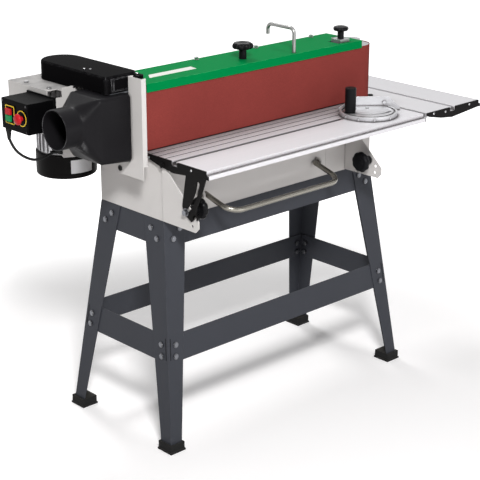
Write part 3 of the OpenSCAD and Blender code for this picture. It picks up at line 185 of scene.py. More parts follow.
def flowing(route, steps):
    """Points of a smooth curve through a route, the same spline as the solid's."""
    def near(i):
        return Vector(route[max(0, min(len(route) - 1, i))])
    made = []
    for i in range(len(route) - 1):
        a, b, c, d = near(i - 1), near(i), near(i + 1), near(i + 2)
        for k in range(steps):
            t = k / steps
            made.append(0.5 * ((2 * b) + (c - a) * t + (2 * a - 5 * b + 4 * c - d) * t * t
                               + (3 * b - a - 3 * c + d) * t ** 3))
    return made + [Vector(route[-1])]


def tube(name, centres, radius, sides=20):
    """Round tube along a line of points, its rings carried on without twisting."""
    points = []
    across = Vector((0.3, 1, 0.2))
    for i, c in enumerate(centres):
        along = (centres[min(i + 1, len(centres) - 1)] - centres[max(i - 1, 0)]).normalized()
        across = (across - along * across.dot(along)).normalized()
        up = along.cross(across)
        turns = [2 * math.pi * k / sides for k in range(sides)]
        points += [c + radius * (across * math.cos(a) + up * math.sin(a)) for a in turns]
    faces = []
    for i in range(len(centres) - 1):
        for k in range(sides):
            n = (k + 1) % sides
            faces.append([i * sides + k, i * sides + n, (i + 1) * sides + n, (i + 1) * sides + k])
    faces += [list(range(sides)), list(range(len(points) - sides, len(points)))]
    return piece(name, points, faces)


cord_points = [at(*p) for p in flowing(cord_route, 8)]
motor_lead = tube("motor_lead", cord_points, LEAD_R)
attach(motor_lead, "machine")
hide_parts("motor_cord")

# %% [markdown]
# ## Shared finishes
# Several materials need the same effects. Each one is a node group with named sockets: a speckle that
# breaks up a flat colour and roughens a surface, a mask for edges that carries wear and painted highlights,
# streaks left by rolling or grinding, a thin film of sanding dust on what faces up, and grime with painted
# shade deep in grooves and corners. They could be painted as pictures, but noise in the object's own space
# needs no unwrapping and stays with a piece that moves.

# %% Node group helper
def new_group(name, inputs, outputs):
    group = bpy.data.node_groups.new(name, "ShaderNodeTree")
    for label, kind, value in inputs:
        socket = group.interface.new_socket(name=label, in_out="INPUT", socket_type=kind)
        socket.default_value = value
    for label, kind in outputs:
        group.interface.new_socket(name=label, in_out="OUTPUT", socket_type=kind)
    return group, group.nodes.new("NodeGroupInput"), group.nodes.new("NodeGroupOutput")


def add(tree, kind, **values):
    node = tree.nodes.new(kind)
    for key, value in values.items():
        setattr(node, key, value)
    return node


print("group helpers ready")

# %% Speckle group: two sizes of noise in object space
speckle, given, out = new_group("surface speckle", [("Scale", "NodeSocketFloat", 200.0)],
                                [("Cloud", "NodeSocketFloat"), ("Grain", "NodeSocketFloat")])
place = add(speckle, "ShaderNodeTexCoord")
cloud = add(speckle, "ShaderNodeTexNoise")
cloud.inputs["Scale"].default_value = 6.0
cloud.inputs["Detail"].default_value = 3.0
grain = add(speckle, "ShaderNodeTexNoise")
grain.inputs["Detail"].default_value = 2.0
speckle.links.new(place.outputs["Object"], cloud.inputs["Vector"])
speckle.links.new(place.outputs["Object"], grain.inputs["Vector"])
speckle.links.new(given.outputs["Scale"], grain.inputs["Scale"])
speckle.links.new(cloud.outputs["Fac"], out.inputs["Cloud"])
speckle.links.new(grain.outputs["Fac"], out.inputs["Grain"])
print("group", speckle.name)

# %% Edge group for wear and painted highlights: where the rounded normal leaves the flat one
edge_mask_inputs = [("Radius", "NodeSocketFloat", 0.0015), ("Amount", "NodeSocketFloat", 0.5)]
wear_and_highlight_group, given, out = new_group("edge scuff and highlight", edge_mask_inputs, [("Mask", "NodeSocketFloat")])
soft = add(wear_and_highlight_group, "ShaderNodeBevel", samples=4)
flat = add(wear_and_highlight_group, "ShaderNodeNewGeometry")
dot = add(wear_and_highlight_group, "ShaderNodeVectorMath", operation="DOT_PRODUCT")
ramp = add(wear_and_highlight_group, "ShaderNodeMapRange")
ramp.inputs["From Min"].default_value = 0.995
ramp.inputs["From Max"].default_value = 0.93
chips = add(wear_and_highlight_group, "ShaderNodeTexNoise")
chips.inputs["Scale"].default_value = 60.0
chips.inputs["Detail"].default_value = 4.0
coords = add(wear_and_highlight_group, "ShaderNodeTexCoord")
broken = add(wear_and_highlight_group, "ShaderNodeMapRange")
broken.inputs["From Min"].default_value = 0.38
broken.inputs["From Max"].default_value = 0.62
times = add(wear_and_highlight_group, "ShaderNodeMath", operation="MULTIPLY")
final = add(wear_and_highlight_group, "ShaderNodeMath", operation="MULTIPLY")
wear_and_highlight_group.links.new(given.outputs["Radius"], soft.inputs["Radius"])
wear_and_highlight_group.links.new(soft.outputs["Normal"], dot.inputs[0])
wear_and_highlight_group.links.new(flat.outputs["Normal"], dot.inputs[1])
wear_and_highlight_group.links.new(dot.outputs["Value"], ramp.inputs["Value"])
wear_and_highlight_group.links.new(coords.outputs["Object"], chips.inputs["Vector"])
wear_and_highlight_group.links.new(chips.outputs["Fac"], broken.inputs["Value"])
wear_and_highlight_group.links.new(ramp.outputs["Result"], times.inputs[0])
wear_and_highlight_group.links.new(broken.outputs["Result"], times.inputs[1])
wear_and_highlight_group.links.new(times.outputs["Value"], final.inputs[0])
wear_and_highlight_group.links.new(given.outputs["Amount"], final.inputs[1])
wear_and_highlight_group.links.new(final.outputs["Value"], out.inputs["Mask"])
print("group", wear_and_highlight_group.name)

# %% Streak group: noise stretched along one direction
streak, given, out = new_group("drawn streaks", [("Stretch", "NodeSocketVector", (4.0, 400.0, 400.0))],
                               [("Streaks", "NodeSocketFloat")])
coords = add(streak, "ShaderNodeTexCoord")
stretch = add(streak, "ShaderNodeVectorMath", operation="MULTIPLY")
lines = add(streak, "ShaderNodeTexNoise")
lines.inputs["Scale"].default_value = 1.0
lines.inputs["Detail"].default_value = 3.0
streak.links.new(coords.outputs["Object"], stretch.inputs[0])
streak.links.new(given.outputs["Stretch"], stretch.inputs[1])
streak.links.new(stretch.outputs["Vector"], lines.inputs["Vector"])
streak.links.new(lines.outputs["Fac"], out.inputs["Streaks"])
print("group", streak.name)

# %% Dust group: a thin patchy film on what faces up
dust, given, out = new_group("dust film", [("Amount", "NodeSocketFloat", 0.1)],
                             [("Mask", "NodeSocketFloat")])
face = add(dust, "ShaderNodeNewGeometry")
split = add(dust, "ShaderNodeSeparateXYZ")
up = add(dust, "ShaderNodeMapRange")
up.inputs["From Min"].default_value = 0.55
up.inputs["From Max"].default_value = 1.0
coords = add(dust, "ShaderNodeTexCoord")
patch = add(dust, "ShaderNodeTexNoise")
patch.inputs["Scale"].default_value = 22.0
patch.inputs["Detail"].default_value = 5.0
both = add(dust, "ShaderNodeMath", operation="MULTIPLY")
much = add(dust, "ShaderNodeMath", operation="MULTIPLY")
dust.links.new(face.outputs["Normal"], split.inputs["Vector"])
dust.links.new(split.outputs["Z"], up.inputs["Value"])
dust.links.new(coords.outputs["Object"], patch.inputs["Vector"])
dust.links.new(up.outputs["Result"], both.inputs[0])
dust.links.new(patch.outputs["Fac"], both.inputs[1])
dust.links.new(both.outputs["Value"], much.inputs[0])
dust.links.new(given.outputs["Amount"], much.inputs[1])
dust.links.new(much.outputs["Value"], out.inputs["Mask"])
print("group", dust.name)

# %% Crevice group: what lies deep in grooves and corners, darkened as grime and as painted shade
crevice_inputs = [("Reach", "NodeSocketFloat", 0.006), ("Amount", "NodeSocketFloat", 0.5)]
crevice, given, out = new_group("crevice grime and shade", crevice_inputs, [("Mask", "NodeSocketFloat")])
shut_in = add(crevice, "ShaderNodeAmbientOcclusion", samples=6)
depth = add(crevice, "ShaderNodeMapRange")
depth.inputs["From Min"].default_value = 0.85
depth.inputs["From Max"].default_value = 0.55
part = add(crevice, "ShaderNodeMath", operation="MULTIPLY")
crevice.links.new(given.outputs["Reach"], shut_in.inputs["Distance"])
crevice.links.new(shut_in.outputs["AO"], depth.inputs["Value"])
crevice.links.new(depth.outputs["Result"], part.inputs[0])
crevice.links.new(given.outputs["Amount"], part.inputs[1])
crevice.links.new(part.outputs["Value"], out.inputs["Mask"])
print("group", crevice.name)

# %% [markdown]
# ## Materials
# `surface` builds one material: a base colour that drifts a little between a lighter and a darker tone,
# edges that are paler, as wear towards the metal below and, on the black mouldings, as a painted highlight,
# a grain that feeds both roughness and bump, and optional streaks, a film on what faces up, and grime with
# painted shade. `dirt_and_shade` is a list of (amount, reach in metres): a short reach darkens grooves with
# grime and painted shade, a long one paints shade on a plate beside a wall. Each finish is that recipe with
# its own values.

# %% Material recipe
WOOD_DUST = (0.62, 0.56, 0.48)
# Colour for grime and painted shade in grooves and corners.
GROOVE_DIRT_AND_SHADE = (0.06, 0.05, 0.05)
GRAIN_HEIGHT = 0.0006


def surface(name, tone, drift=0.06, rough=0.45, rough_drift=0.1, metal=0.0, grain_scale=300.0,
            grain_bump=0.15, wear_highlight=None, wear_highlight_amount=0.4, wear_highlight_radius=0.0012, stretch=None, dusty=0.0,
            film_tone=WOOD_DUST, shine=0.5, dirt_and_shade=()):
    made = bpy.data.materials.new(name)
    made.use_nodes = True
    tree = made.node_tree
    shader = tree.nodes["Principled BSDF"]
    shader.inputs["Metallic"].default_value = metal
    shader.inputs["Specular IOR Level"].default_value = shine
    spots = add(tree, "ShaderNodeGroup", node_tree=speckle)
    spots.inputs["Scale"].default_value = grain_scale
    colour = add(tree, "ShaderNodeMix", data_type="RGBA")
    colour.inputs["A"].default_value = (*[max(0.0, c * (1 - drift)) for c in tone], 1)
    colour.inputs["B"].default_value = (*[min(1.0, c * (1 + drift)) for c in tone], 1)
    tree.links.new(spots.outputs["Cloud"], colour.inputs["Factor"])
    last = colour.outputs["Result"]
    height = spots.outputs["Grain"]
    if stretch:
        drawn = add(tree, "ShaderNodeGroup", node_tree=streak)
        drawn.inputs["Stretch"].default_value = stretch
        shade = add(tree, "ShaderNodeMix", data_type="RGBA", blend_type="MULTIPLY")
        shade.inputs["Factor"].default_value = 0.35
        tone_map = add(tree, "ShaderNodeMapRange")
        tone_map.inputs["To Min"].default_value = 0.75
        tone_map.inputs["To Max"].default_value = 1.15
        tree.links.new(drawn.outputs["Streaks"], tone_map.inputs["Value"])
        tree.links.new(last, shade.inputs["A"])
        tree.links.new(tone_map.outputs["Result"], shade.inputs["B"])
        last = shade.outputs["Result"]
        height = drawn.outputs["Streaks"]
    # A paler edge colour: wear on most finishes, a painted highlight on the hood and the guard.
    if wear_highlight:
        edge = add(tree, "ShaderNodeGroup", node_tree=wear_and_highlight_group)
        edge.inputs["Radius"].default_value = wear_highlight_radius
        edge.inputs["Amount"].default_value = wear_highlight_amount
        edge_tone_mix = add(tree, "ShaderNodeMix", data_type="RGBA")
        edge_tone_mix.inputs["B"].default_value = (*wear_highlight, 1)
        tree.links.new(edge.outputs["Mask"], edge_tone_mix.inputs["Factor"])
        tree.links.new(last, edge_tone_mix.inputs["A"])
        last = edge_tone_mix.outputs["Result"]
    if dusty:
        film = add(tree, "ShaderNodeGroup", node_tree=dust)
        film.inputs["Amount"].default_value = dusty
        lay = add(tree, "ShaderNodeMix", data_type="RGBA")
        lay.inputs["B"].default_value = (*film_tone, 1)
        tree.links.new(film.outputs["Mask"], lay.inputs["Factor"])
        tree.links.new(last, lay.inputs["A"])
        last = lay.outputs["Result"]
    # Occlusion darkens the colour where a thing is shut in: grime in grooves, and painted shade in corners
    # and beside walls.
    for amount, reach in dirt_and_shade:
        deep = add(tree, "ShaderNodeGroup", node_tree=crevice)
        deep.inputs["Reach"].default_value = reach
        deep.inputs["Amount"].default_value = amount
        fill = add(tree, "ShaderNodeMix", data_type="RGBA")
        fill.inputs["B"].default_value = (*GROOVE_DIRT_AND_SHADE, 1)
        tree.links.new(deep.outputs["Mask"], fill.inputs["Factor"])
        tree.links.new(last, fill.inputs["A"])
        last = fill.outputs["Result"]
    tree.links.new(last, shader.inputs["Base Color"])
    gloss = add(tree, "ShaderNodeMapRange")
    gloss.inputs["To Min"].default_value = max(0.02, rough - rough_drift)
    gloss.inputs["To Max"].default_value = min(1.0, rough + rough_drift)
    tree.links.new(height, gloss.inputs["Value"])
    tree.links.new(gloss.outputs["Result"], shader.inputs["Roughness"])
    round_edge = add(tree, "ShaderNodeBevel", samples=4)
    round_edge.inputs["Radius"].default_value = wear_highlight_radius
    bump = add(tree, "ShaderNodeBump")
    bump.inputs["Strength"].default_value = grain_bump
    bump.inputs["Distance"].default_value = GRAIN_HEIGHT
    tree.links.new(height, bump.inputs["Height"])
    tree.links.new(round_edge.outputs["Normal"], bump.inputs["Normal"])
    tree.links.new(bump.outputs["Normal"], shader.inputs["Normal"])
    made.diffuse_color = (*tone, 1)
    return made


print("recipe ready")

# %% [markdown]
# The covers, the cabinet and the stand are powder coated sheet: a fine grain, a low shine and edges where
# the coat is a little thinner. The motor mount has the cabinet's grey, and a dark film darkens its faces
# that look up. The deep blacks keep almost no shine, or the white room would turn them grey.

# %% Painted sheet metal
green_paint = surface("green paint", (0.0, 0.205, 0.052), drift=0.04, rough=0.5, rough_drift=0.06,
                      grain_scale=700, grain_bump=0.08, wear_highlight=(0.1, 0.5, 0.22), wear_highlight_amount=0.6,
                      wear_highlight_radius=0.0018, shine=0.01)
body_paint = surface("light grey paint", (0.6, 0.58, 0.565), drift=0.03, rough=0.5, rough_drift=0.08,
                     grain_scale=650, grain_bump=0.1, wear_highlight=(0.72, 0.7, 0.68), wear_highlight_amount=0.35,
                     dusty=0.03, shine=0.15, dirt_and_shade=((0.35, 0.006),))
# A dark film over the faces that look up makes the mount's top darker.
mount_paint = surface("mount paint", (0.6, 0.58, 0.565), drift=0.03, rough=0.5, rough_drift=0.08,
                      grain_scale=650, grain_bump=0.1, wear_highlight=(0.72, 0.7, 0.68), wear_highlight_amount=0.35,
                      dusty=0.95, film_tone=(0.06, 0.06, 0.065), shine=0.15, dirt_and_shade=((0.35, 0.006),))
stand_paint = surface("stand paint", (0.039, 0.0415, 0.05), drift=0.08, rough=0.5, rough_drift=0.08,
                      grain_scale=600, grain_bump=0.12, wear_highlight=(0.12, 0.125, 0.14), wear_highlight_amount=0.5,
                      wear_highlight_radius=0.0014, dusty=0.03, shine=0.12)
black_paint = surface("black paint", (0.006, 0.0055, 0.0055), drift=0.2, rough=0.45, rough_drift=0.08,
                      grain_scale=600, grain_bump=0.1, wear_highlight=(0.06, 0.06, 0.062), wear_highlight_amount=0.6,
                      shine=0.04)
frame_paint = surface("frame paint", (0.09, 0.094, 0.102), drift=0.1, rough=0.5, rough_drift=0.1,
                      grain_scale=500, grain_bump=0.15, wear_highlight=(0.3, 0.3, 0.32), wear_highlight_amount=0.4,
                      shine=0.2)
print("paints made")

# %% [markdown]
# The hood, the guard, the switch box and the knobs are moulded: dark, with a faint grain and paler edges.
# On the hood and the guard these paler edges are painted highlights, on the switch box and the knobs wear
# where hands and hoses rub. Rubber is rougher and holds some dust. The buttons are smooth and plain.

# %% Moulded plastic and rubber
# The bright edge colour of the hood and the guard is a painted highlight along their edges.
black_plastic = surface("black plastic", (0.0095, 0.009, 0.0102), drift=0.25, rough=0.36,
                        rough_drift=0.08, grain_scale=1600, grain_bump=0.16, wear_highlight=(0.16, 0.16, 0.166),
                        wear_highlight_amount=0.9, wear_highlight_radius=0.003, shine=0.05)
guard_plastic = surface("guard plastic", (0.0045, 0.0042, 0.0047), drift=0.25, rough=0.3,
                        rough_drift=0.06, grain_scale=1600, grain_bump=0.08, wear_highlight=(0.14, 0.14, 0.146),
                        wear_highlight_amount=0.9, wear_highlight_radius=0.003, shine=0.0015)
box_plastic = surface("switch box plastic", (0.0022, 0.0022, 0.0025), drift=0.2, rough=0.42,
                      rough_drift=0.08, grain_scale=1400, grain_bump=0.12, wear_highlight=(0.04, 0.04, 0.042),
                      wear_highlight_amount=0.5, wear_highlight_radius=0.002, shine=0.02)
knob_plastic = surface("knob plastic", (0.006, 0.006, 0.007), drift=0.2, rough=0.28, rough_drift=0.06,
                       grain_scale=1200, grain_bump=0.06, wear_highlight=(0.05, 0.05, 0.05), wear_highlight_amount=0.4,
                       shine=0.07)
foot_rubber = surface("foot rubber", (0.012, 0.012, 0.012), drift=0.2, rough=0.68, rough_drift=0.12,
                      grain_scale=900, grain_bump=0.25, wear_highlight=(0.05, 0.05, 0.05), wear_highlight_amount=0.4,
                      dusty=0.05, shine=0.1)
lead_rubber = surface("lead rubber", (0.01, 0.01, 0.01), drift=0.2, rough=0.5, rough_drift=0.1,
                      grain_scale=900, grain_bump=0.15, shine=0.12)
yellow_plastic = surface("yellow plastic", (0.8, 0.55, 0.02), drift=0.06, rough=0.4, rough_drift=0.08,
                         grain_scale=900, grain_bump=0.08, wear_highlight=(0.9, 0.75, 0.3), wear_highlight_amount=0.3,
                         shine=0.2)
red_plastic = surface("red plastic", (0.46, 0.01, 0.016), drift=0.1, rough=0.34, rough_drift=0.05,
                      grain_scale=900, grain_bump=0.04, wear_highlight=(0.6, 0.1, 0.1), wear_highlight_amount=0.3,
                      shine=0.12)
green_plastic = surface("green plastic", (0.005, 0.24, 0.07), drift=0.1, rough=0.34, rough_drift=0.05,
                        grain_scale=900, grain_bump=0.04, wear_highlight=(0.1, 0.4, 0.15), wear_highlight_amount=0.3,
                        shine=0.12)
print("plastics made")

# %% [markdown]
# The tables are drawn profiles, so their streaks run along the draw, and their grooves are darkened with
# grime and painted shade.
# The motor and the gauge are cast and coarser. Bolts, rods and drums are steel, from bright zinc to dull.

# %% Bare metals
# The long reach paints shade on the table top towards the belt, where the belt unit stands over it.
anodised = surface("anodised aluminium", (0.69, 0.675, 0.7), drift=0.02, rough=0.42, rough_drift=0.06,
                   metal=0.12, shine=0.12, grain_bump=0.03, stretch=(3.0, 520.0, 520.0),
                   wear_highlight=(0.84, 0.84, 0.85), wear_highlight_amount=0.5, wear_highlight_radius=0.0008,
                   dirt_and_shade=((1.0, 0.01), (0.78, 0.13)))
anodised_across = surface("anodised aluminium across", (0.63, 0.62, 0.64), drift=0.02, rough=0.36,
                          rough_drift=0.06, metal=0.25, shine=0.3, grain_bump=0.03,
                          stretch=(520.0, 3.0, 520.0), wear_highlight=(0.84, 0.84, 0.85), wear_highlight_amount=0.5,
                          wear_highlight_radius=0.0008, dirt_and_shade=((1.0, 0.01),))
cast_aluminium = surface("cast aluminium", (0.52, 0.52, 0.535), drift=0.06, rough=0.36, rough_drift=0.1,
                         metal=0.6, grain_scale=420, grain_bump=0.18, wear_highlight=(0.8, 0.8, 0.82),
                         wear_highlight_amount=0.7, dirt_and_shade=((0.9, 0.008),))
zinc = surface("bright zinc", (0.5, 0.5, 0.51), drift=0.08, rough=0.26, rough_drift=0.08, metal=0.95,
               grain_scale=260, grain_bump=0.08, wear_highlight=(0.75, 0.75, 0.75), wear_highlight_amount=0.5,
               wear_highlight_radius=0.0006, dirt_and_shade=((0.6, 0.006),))
bolt_steel = surface("bolt steel", (0.15, 0.155, 0.17), drift=0.1, rough=0.3, rough_drift=0.1,
                     metal=0.95, grain_scale=260, grain_bump=0.1, wear_highlight=(0.6, 0.6, 0.6), wear_highlight_amount=0.6,
                     wear_highlight_radius=0.0008, dirt_and_shade=((0.7, 0.006),))
turned_steel = surface("turned steel", (0.4, 0.4, 0.41), drift=0.06, rough=0.34, rough_drift=0.1,
                       metal=0.9, grain_bump=0.06, stretch=(60.0, 60.0, 900.0), wear_highlight=(0.6, 0.6, 0.61),
                       wear_highlight_amount=0.4, dirt_and_shade=((0.5, 0.006),))
rod_steel = surface("rod steel", (0.24, 0.228, 0.2), drift=0.08, rough=0.26, rough_drift=0.06,
                    metal=0.9, grain_bump=0.05, stretch=(40.0, 700.0, 700.0))
lever_steel = surface("lever steel", (0.26, 0.26, 0.255), drift=0.08, rough=0.32, rough_drift=0.08,
                      metal=0.85, grain_bump=0.05, stretch=(500.0, 40.0, 500.0))
plate_metal = surface("bare plate", (0.5, 0.5, 0.51), drift=0.08, rough=0.42, rough_drift=0.08,
                      metal=0.3, grain_scale=800, grain_bump=0.06, wear_highlight=(0.7, 0.7, 0.7),
                      wear_highlight_amount=0.4, wear_highlight_radius=0.0005)
pale_strip = surface("pale strip", (0.72, 0.72, 0.68), drift=0.03, rough=0.5, rough_drift=0.05,
                     grain_scale=600, grain_bump=0.04, shine=0.15)
print("metals made")

# %% [markdown]
# The sanding belt is cloth covered with brick red grit. Close up it is a field of tiny grains, so it gets
# a strong fine bump, a sparse scatter of darker grains, and a slow drift of tone where wood has loaded it.

# %% Abrasive and graphite
abrasive = surface("abrasive grit", (0.228, 0.0405, 0.0345), drift=0.2, rough=0.85, rough_drift=0.08,
                   grain_scale=1500, grain_bump=0.7, shine=0.08)
tree = abrasive.node_tree
shader = tree.nodes["Principled BSDF"]
coords = add(tree, "ShaderNodeTexCoord")
grit = add(tree, "ShaderNodeTexVoronoi")
grit.inputs["Scale"].default_value = 900.0
dark = add(tree, "ShaderNodeMapRange")
dark.inputs["From Min"].default_value = 0.15
dark.inputs["From Max"].default_value = 0.75
dark.inputs["To Min"].default_value = 0.72
dark.inputs["To Max"].default_value = 1.12
mixed = add(tree, "ShaderNodeMix", data_type="RGBA", blend_type="MULTIPLY")
mixed.inputs["Factor"].default_value = 1.0
before = shader.inputs["Base Color"].links[0].from_socket
tree.links.new(coords.outputs["Object"], grit.inputs["Vector"])
tree.links.new(grit.outputs["Distance"], dark.inputs["Value"])
tree.links.new(before, mixed.inputs["A"])
tree.links.new(dark.outputs["Result"], mixed.inputs["B"])
tree.links.new(mixed.outputs["Result"], shader.inputs["Base Color"])
graphite = surface("graphite cloth", (0.03, 0.03, 0.033), drift=0.15, rough=0.6, rough_drift=0.15,
                   grain_scale=700, grain_bump=0.3)
print("belt and pad made")

# %% [markdown]
# ## Who gets which finish
# Every solid that stays visible gets one of these materials. The table says which, in one place.

# %% Dress the solids
finishes = {
    "leg_front_left": stand_paint, "leg_front_right": stand_paint, "leg_rear_left": stand_paint,
    "leg_rear_right": stand_paint, "stand_aprons": stand_paint, "stand_braces": stand_paint,
    "stand_bolts": bolt_steel, "rubber_feet": foot_rubber, "cabinet_shell": body_paint,
    "front_panel": body_paint, "tilt_brackets": body_paint, "lock_bolts": bolt_steel,
    "deck_plate": body_paint, "belt_frame": frame_paint, "platen": turned_steel,
    "graphite_pad": graphite, "sanding_belt": abrasive, "top_cover": green_paint,
    "back_cover": green_paint, "machine_screws": zinc, "work_stop": body_paint,
    "cable_fittings": lead_rubber, "dust_hood": black_plastic, "drum_bearings": frame_paint,
    "motor_mount": mount_paint, "motor_body": cast_aluminium, "fan_cowl": black_paint,
    "terminal_box": body_paint, "belt_guard": guard_plastic, "v_belt": lead_rubber,
    "switch_box": box_plastic, "switch_plate": box_plastic, "start_button": green_plastic,
    "stop_button": red_plastic, "emergency_stop": red_plastic, "motor_cord": lead_rubber,
    "drive_drum": turned_steel, "drum_pulley": turned_steel, "motor_rotor": turned_steel,
    "motor_fan": black_plastic, "motor_pulley": turned_steel, "idler_slide": turned_steel,
    "idler_drum": turned_steel, "tension_lever": lever_steel, "lock_knob": knob_plastic,
    "tracking_knob": knob_plastic, "table_top": anodised, "table_end_plates": black_paint,
    "tilt_arm": black_paint, "pivot_pins": black_paint, "left_lock_knob": knob_plastic,
    "right_lock_knob": knob_plastic, "bail_handle": rod_steel, "mitre_bar": turned_steel,
    "mitre_head": cast_aluminium, "mitre_handle": knob_plastic, "end_table_top": anodised_across,
    "end_table_plates": black_paint, "end_table_support": frame_paint}


def dress(thing, material):
    thing.data.materials.clear()
    thing.data.materials.append(material)


for name, thing in nodes.items():
    dress(thing, finishes[name])
dress(motor_lead, lead_rubber)
print("dressed", len(finishes), "solids")

# %% [markdown]
# ## Rounded edges
# Moulded housings and folded sheet never end in a perfectly sharp edge: a small rounding catches the
# light along every corner. Here a copy of a solid gets its flat triangles joined back into whole faces, and
# then a bevel on each sharp edge. The copy takes the solid's place, on the same body and with its finish.

# %% Rounding
def bevelled(bm, edges, width, steps, clamp):
    bmesh.ops.bevel(bm, geom=edges, offset=width / 1000, offset_type="OFFSET", segments=steps, profile=0.5,
                    affect="EDGES", clamp_overlap=clamp)


SHARP = math.radians(40)
SMOOTH = math.radians(32)
COPLANAR = math.radians(0.4)


def rounded(node, width, main=None):
    """Bevelled copy of a solid; main is (test of an edge's ends in mm, width, steps) for large rounds."""
    source = nodes[node]
    mesh = source.data.copy()
    bm = bmesh.new()
    bm.from_mesh(mesh)
    bmesh.ops.remove_doubles(bm, verts=bm.verts, dist=2e-6)
    bmesh.ops.dissolve_limit(bm, angle_limit=COPLANAR, verts=bm.verts, edges=bm.edges)

    def sharp_edges():
        return [e for e in bm.edges if len(e.link_faces) == 2 and e.calc_face_angle(0) > SHARP]

    if main:
        test, large, steps = main
        back = Vector((SHIFT[0], SHIFT[1], 0))
        chosen = [e for e in sharp_edges() if all(test(v.co * 1000 + back) for v in e.verts)]
        bevelled(bm, chosen, large, steps, False)
    bevelled(bm, sharp_edges(), width, 2, True)
    bmesh.ops.recalc_face_normals(bm, faces=bm.faces)
    for edge in bm.edges:
        edge.smooth = len(edge.link_faces) == 2 and edge.calc_face_angle(0) < SMOOTH
    for face in bm.faces:
        face.smooth = True
    bm.to_mesh(mesh)
    bm.free()
    if mesh.attributes.get("custom_normal"):
        mesh.attributes.remove(mesh.attributes["custom_normal"])
    made = bpy.data.objects.new(node + "_rounded", mesh)
    bpy.context.scene.collection.objects.link(made)
    even = made.modifiers.new("even shading", "WEIGHTED_NORMAL")
    even.keep_sharp = True
    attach(made, source["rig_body"])
    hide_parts(node)
    dress(made, finishes[node])
    return made


roundings = {
    "top_cover": 1.2, "work_stop": 1.0, "table_end_plates": 0.8, "end_table_plates": 0.8,
    "cabinet_shell": 1.0, "deck_plate": 1.0, "terminal_box": 2.0, "switch_plate": 0.5,
    "mitre_handle": 2.0, "motor_mount": 1.0, "rubber_feet": 1.5, "table_top": 0.5, "end_table_top": 0.5,
    "start_button": 0.8, "stop_button": 0.8, "tilt_brackets": 0.8}
for node, width in roundings.items():
    made = rounded(node, width)
    print(made.name, len(made.data.polygons), "faces")

# %% [markdown]
# Three housings have larger rounds on some of their edges: the top of the belt guard, the foot of the fan
# cowl and the front of the switch box. A test on the ends of an edge picks those out first.

# %% Larger rounds
GUARD_TOP = 962
COWL_FOOT = 666
COWL_RIM = 76
SWITCH_FACE = -253
SWITCH_Y = (127, 238)
NEAR = 0.1


def on_guard_top(p):
    return p.z > GUARD_TOP - NEAR


def on_cowl_foot(p):
    return p.z < COWL_FOOT + NEAR and math.hypot(p.x - MOTOR[0], p.y - MOTOR[1]) > COWL_RIM


def on_switch_face(p):
    return p.x < SWITCH_FACE + NEAR and SWITCH_Y[0] < p.y < SWITCH_Y[1]


rounded("belt_guard", 0.8, (on_guard_top, 6, 4))
rounded("fan_cowl", 0.5, (on_cowl_foot, 6, 4))
rounded("switch_box", 0.6, (on_switch_face, 3.5, 3))
print("large rounds done")

# %% [markdown]
# ## The dust hood
# The hood is one blow moulded shell: a tall box with soft edges that draws in to a round port. It is
# lofted here from rings of equal point count, each a rounded rectangle. Where the corner radius reaches
# half the side, the ring is a circle, so the same outline makes the box, the funnel and the port. The list
# of rings goes over the outside and comes back along the inside, which gives the wall its thickness.

# %% Hood shell
HOOD_X = (-140, -47)
HOOD_Y = (-14, 110)
HOOD_Z = (747, 918)
HOOD_RISE = 9
HOOD_WALL = 3
HOOD_ROUND = 8
NECK_X = -186
PORT_END = -232
PORT_Y, PORT_Z, PORT_R = 50, 848, 50


def outline(x, y0, y1, z0, z1, r, per=12):
    """Rounded rectangle in y and z, with the same count of points for every size and radius."""
    ring = []
    corners = ((y1 - r, z1 - r, 0), (y0 + r, z1 - r, 90), (y0 + r, z0 + r, 180), (y1 - r, z0 + r, 270))
    for cy, cz, start in corners:
        for k in range(per + 1):
            a = math.radians(start + 90 * k / per)
            ring.append((x, cy + r * math.cos(a), cz + r * math.sin(a)))
    return ring


def box_ring(x, inset=0.0, r=10.0):
    low = HOOD_Z[0] + HOOD_RISE * (HOOD_X[1] - x) / (HOOD_X[1] - HOOD_X[0])
    return outline(x, HOOD_Y[0] + inset, HOOD_Y[1] - inset, low + inset, HOOD_Z[1] - inset, r)


def port_ring(x, radius):
    return outline(x, PORT_Y - radius, PORT_Y + radius, PORT_Z - radius, PORT_Z + radius, radius)


def between(a, b, t):
    return [tuple(p + (q - p) * t for p, q in zip(u, v)) for u, v in zip(a, b)]


rear_turns = (0, 0.39, 0.79, 1.18, 1.57)
rings = [box_ring(HOOD_X[1] - HOOD_ROUND * (1 - math.cos(a)), HOOD_ROUND * (1 - math.sin(a)))
         for a in rear_turns]
edge, neck = box_ring(HOOD_X[0] + 1), port_ring(NECK_X + 2, PORT_R)
rings += [box_ring(HOOD_X[1] - 48), box_ring(HOOD_X[0] + 3.5)]
rings += [between(edge, neck, share) for share in (0.03, 0.1, 0.4, 0.7, 0.93)]
rings += [port_ring(NECK_X - 0.5, PORT_R + 0.2), port_ring(NECK_X - 5, PORT_R)]
port_lip = [(3, 0), (0.8, 0.4), (0, 1.2), (0.2, 2.4), (3, HOOD_WALL)]
rings += [port_ring(PORT_END + back, PORT_R - less) for back, less in port_lip]
rings += [port_ring(NECK_X, PORT_R - HOOD_WALL), box_ring(HOOD_X[0] + 2, HOOD_WALL, 8),
          box_ring(HOOD_X[1] - 13, HOOD_WALL, 8), box_ring(HOOD_X[1], HOOD_ROUND + HOOD_WALL, 8)]
count = len(rings[0])
hood_faces = []
for i in range(len(rings)):
    this, following = i * count, (i + 1) % len(rings) * count
    for k in range(count):
        n = (k + 1) % count
        hood_faces.append([this + k, this + n, following + n, following + k])
hood = piece("hood_shell", [at(*p) for ring in rings for p in ring], hood_faces, 50)
print("hood lofted from", len(rings), "rings")

# %% [markdown]
# The drum's shaft and the two plates of the belt frame reach into the hood from behind. The shell is open
# for them above and below, which two boxes cut out of the finished loft.

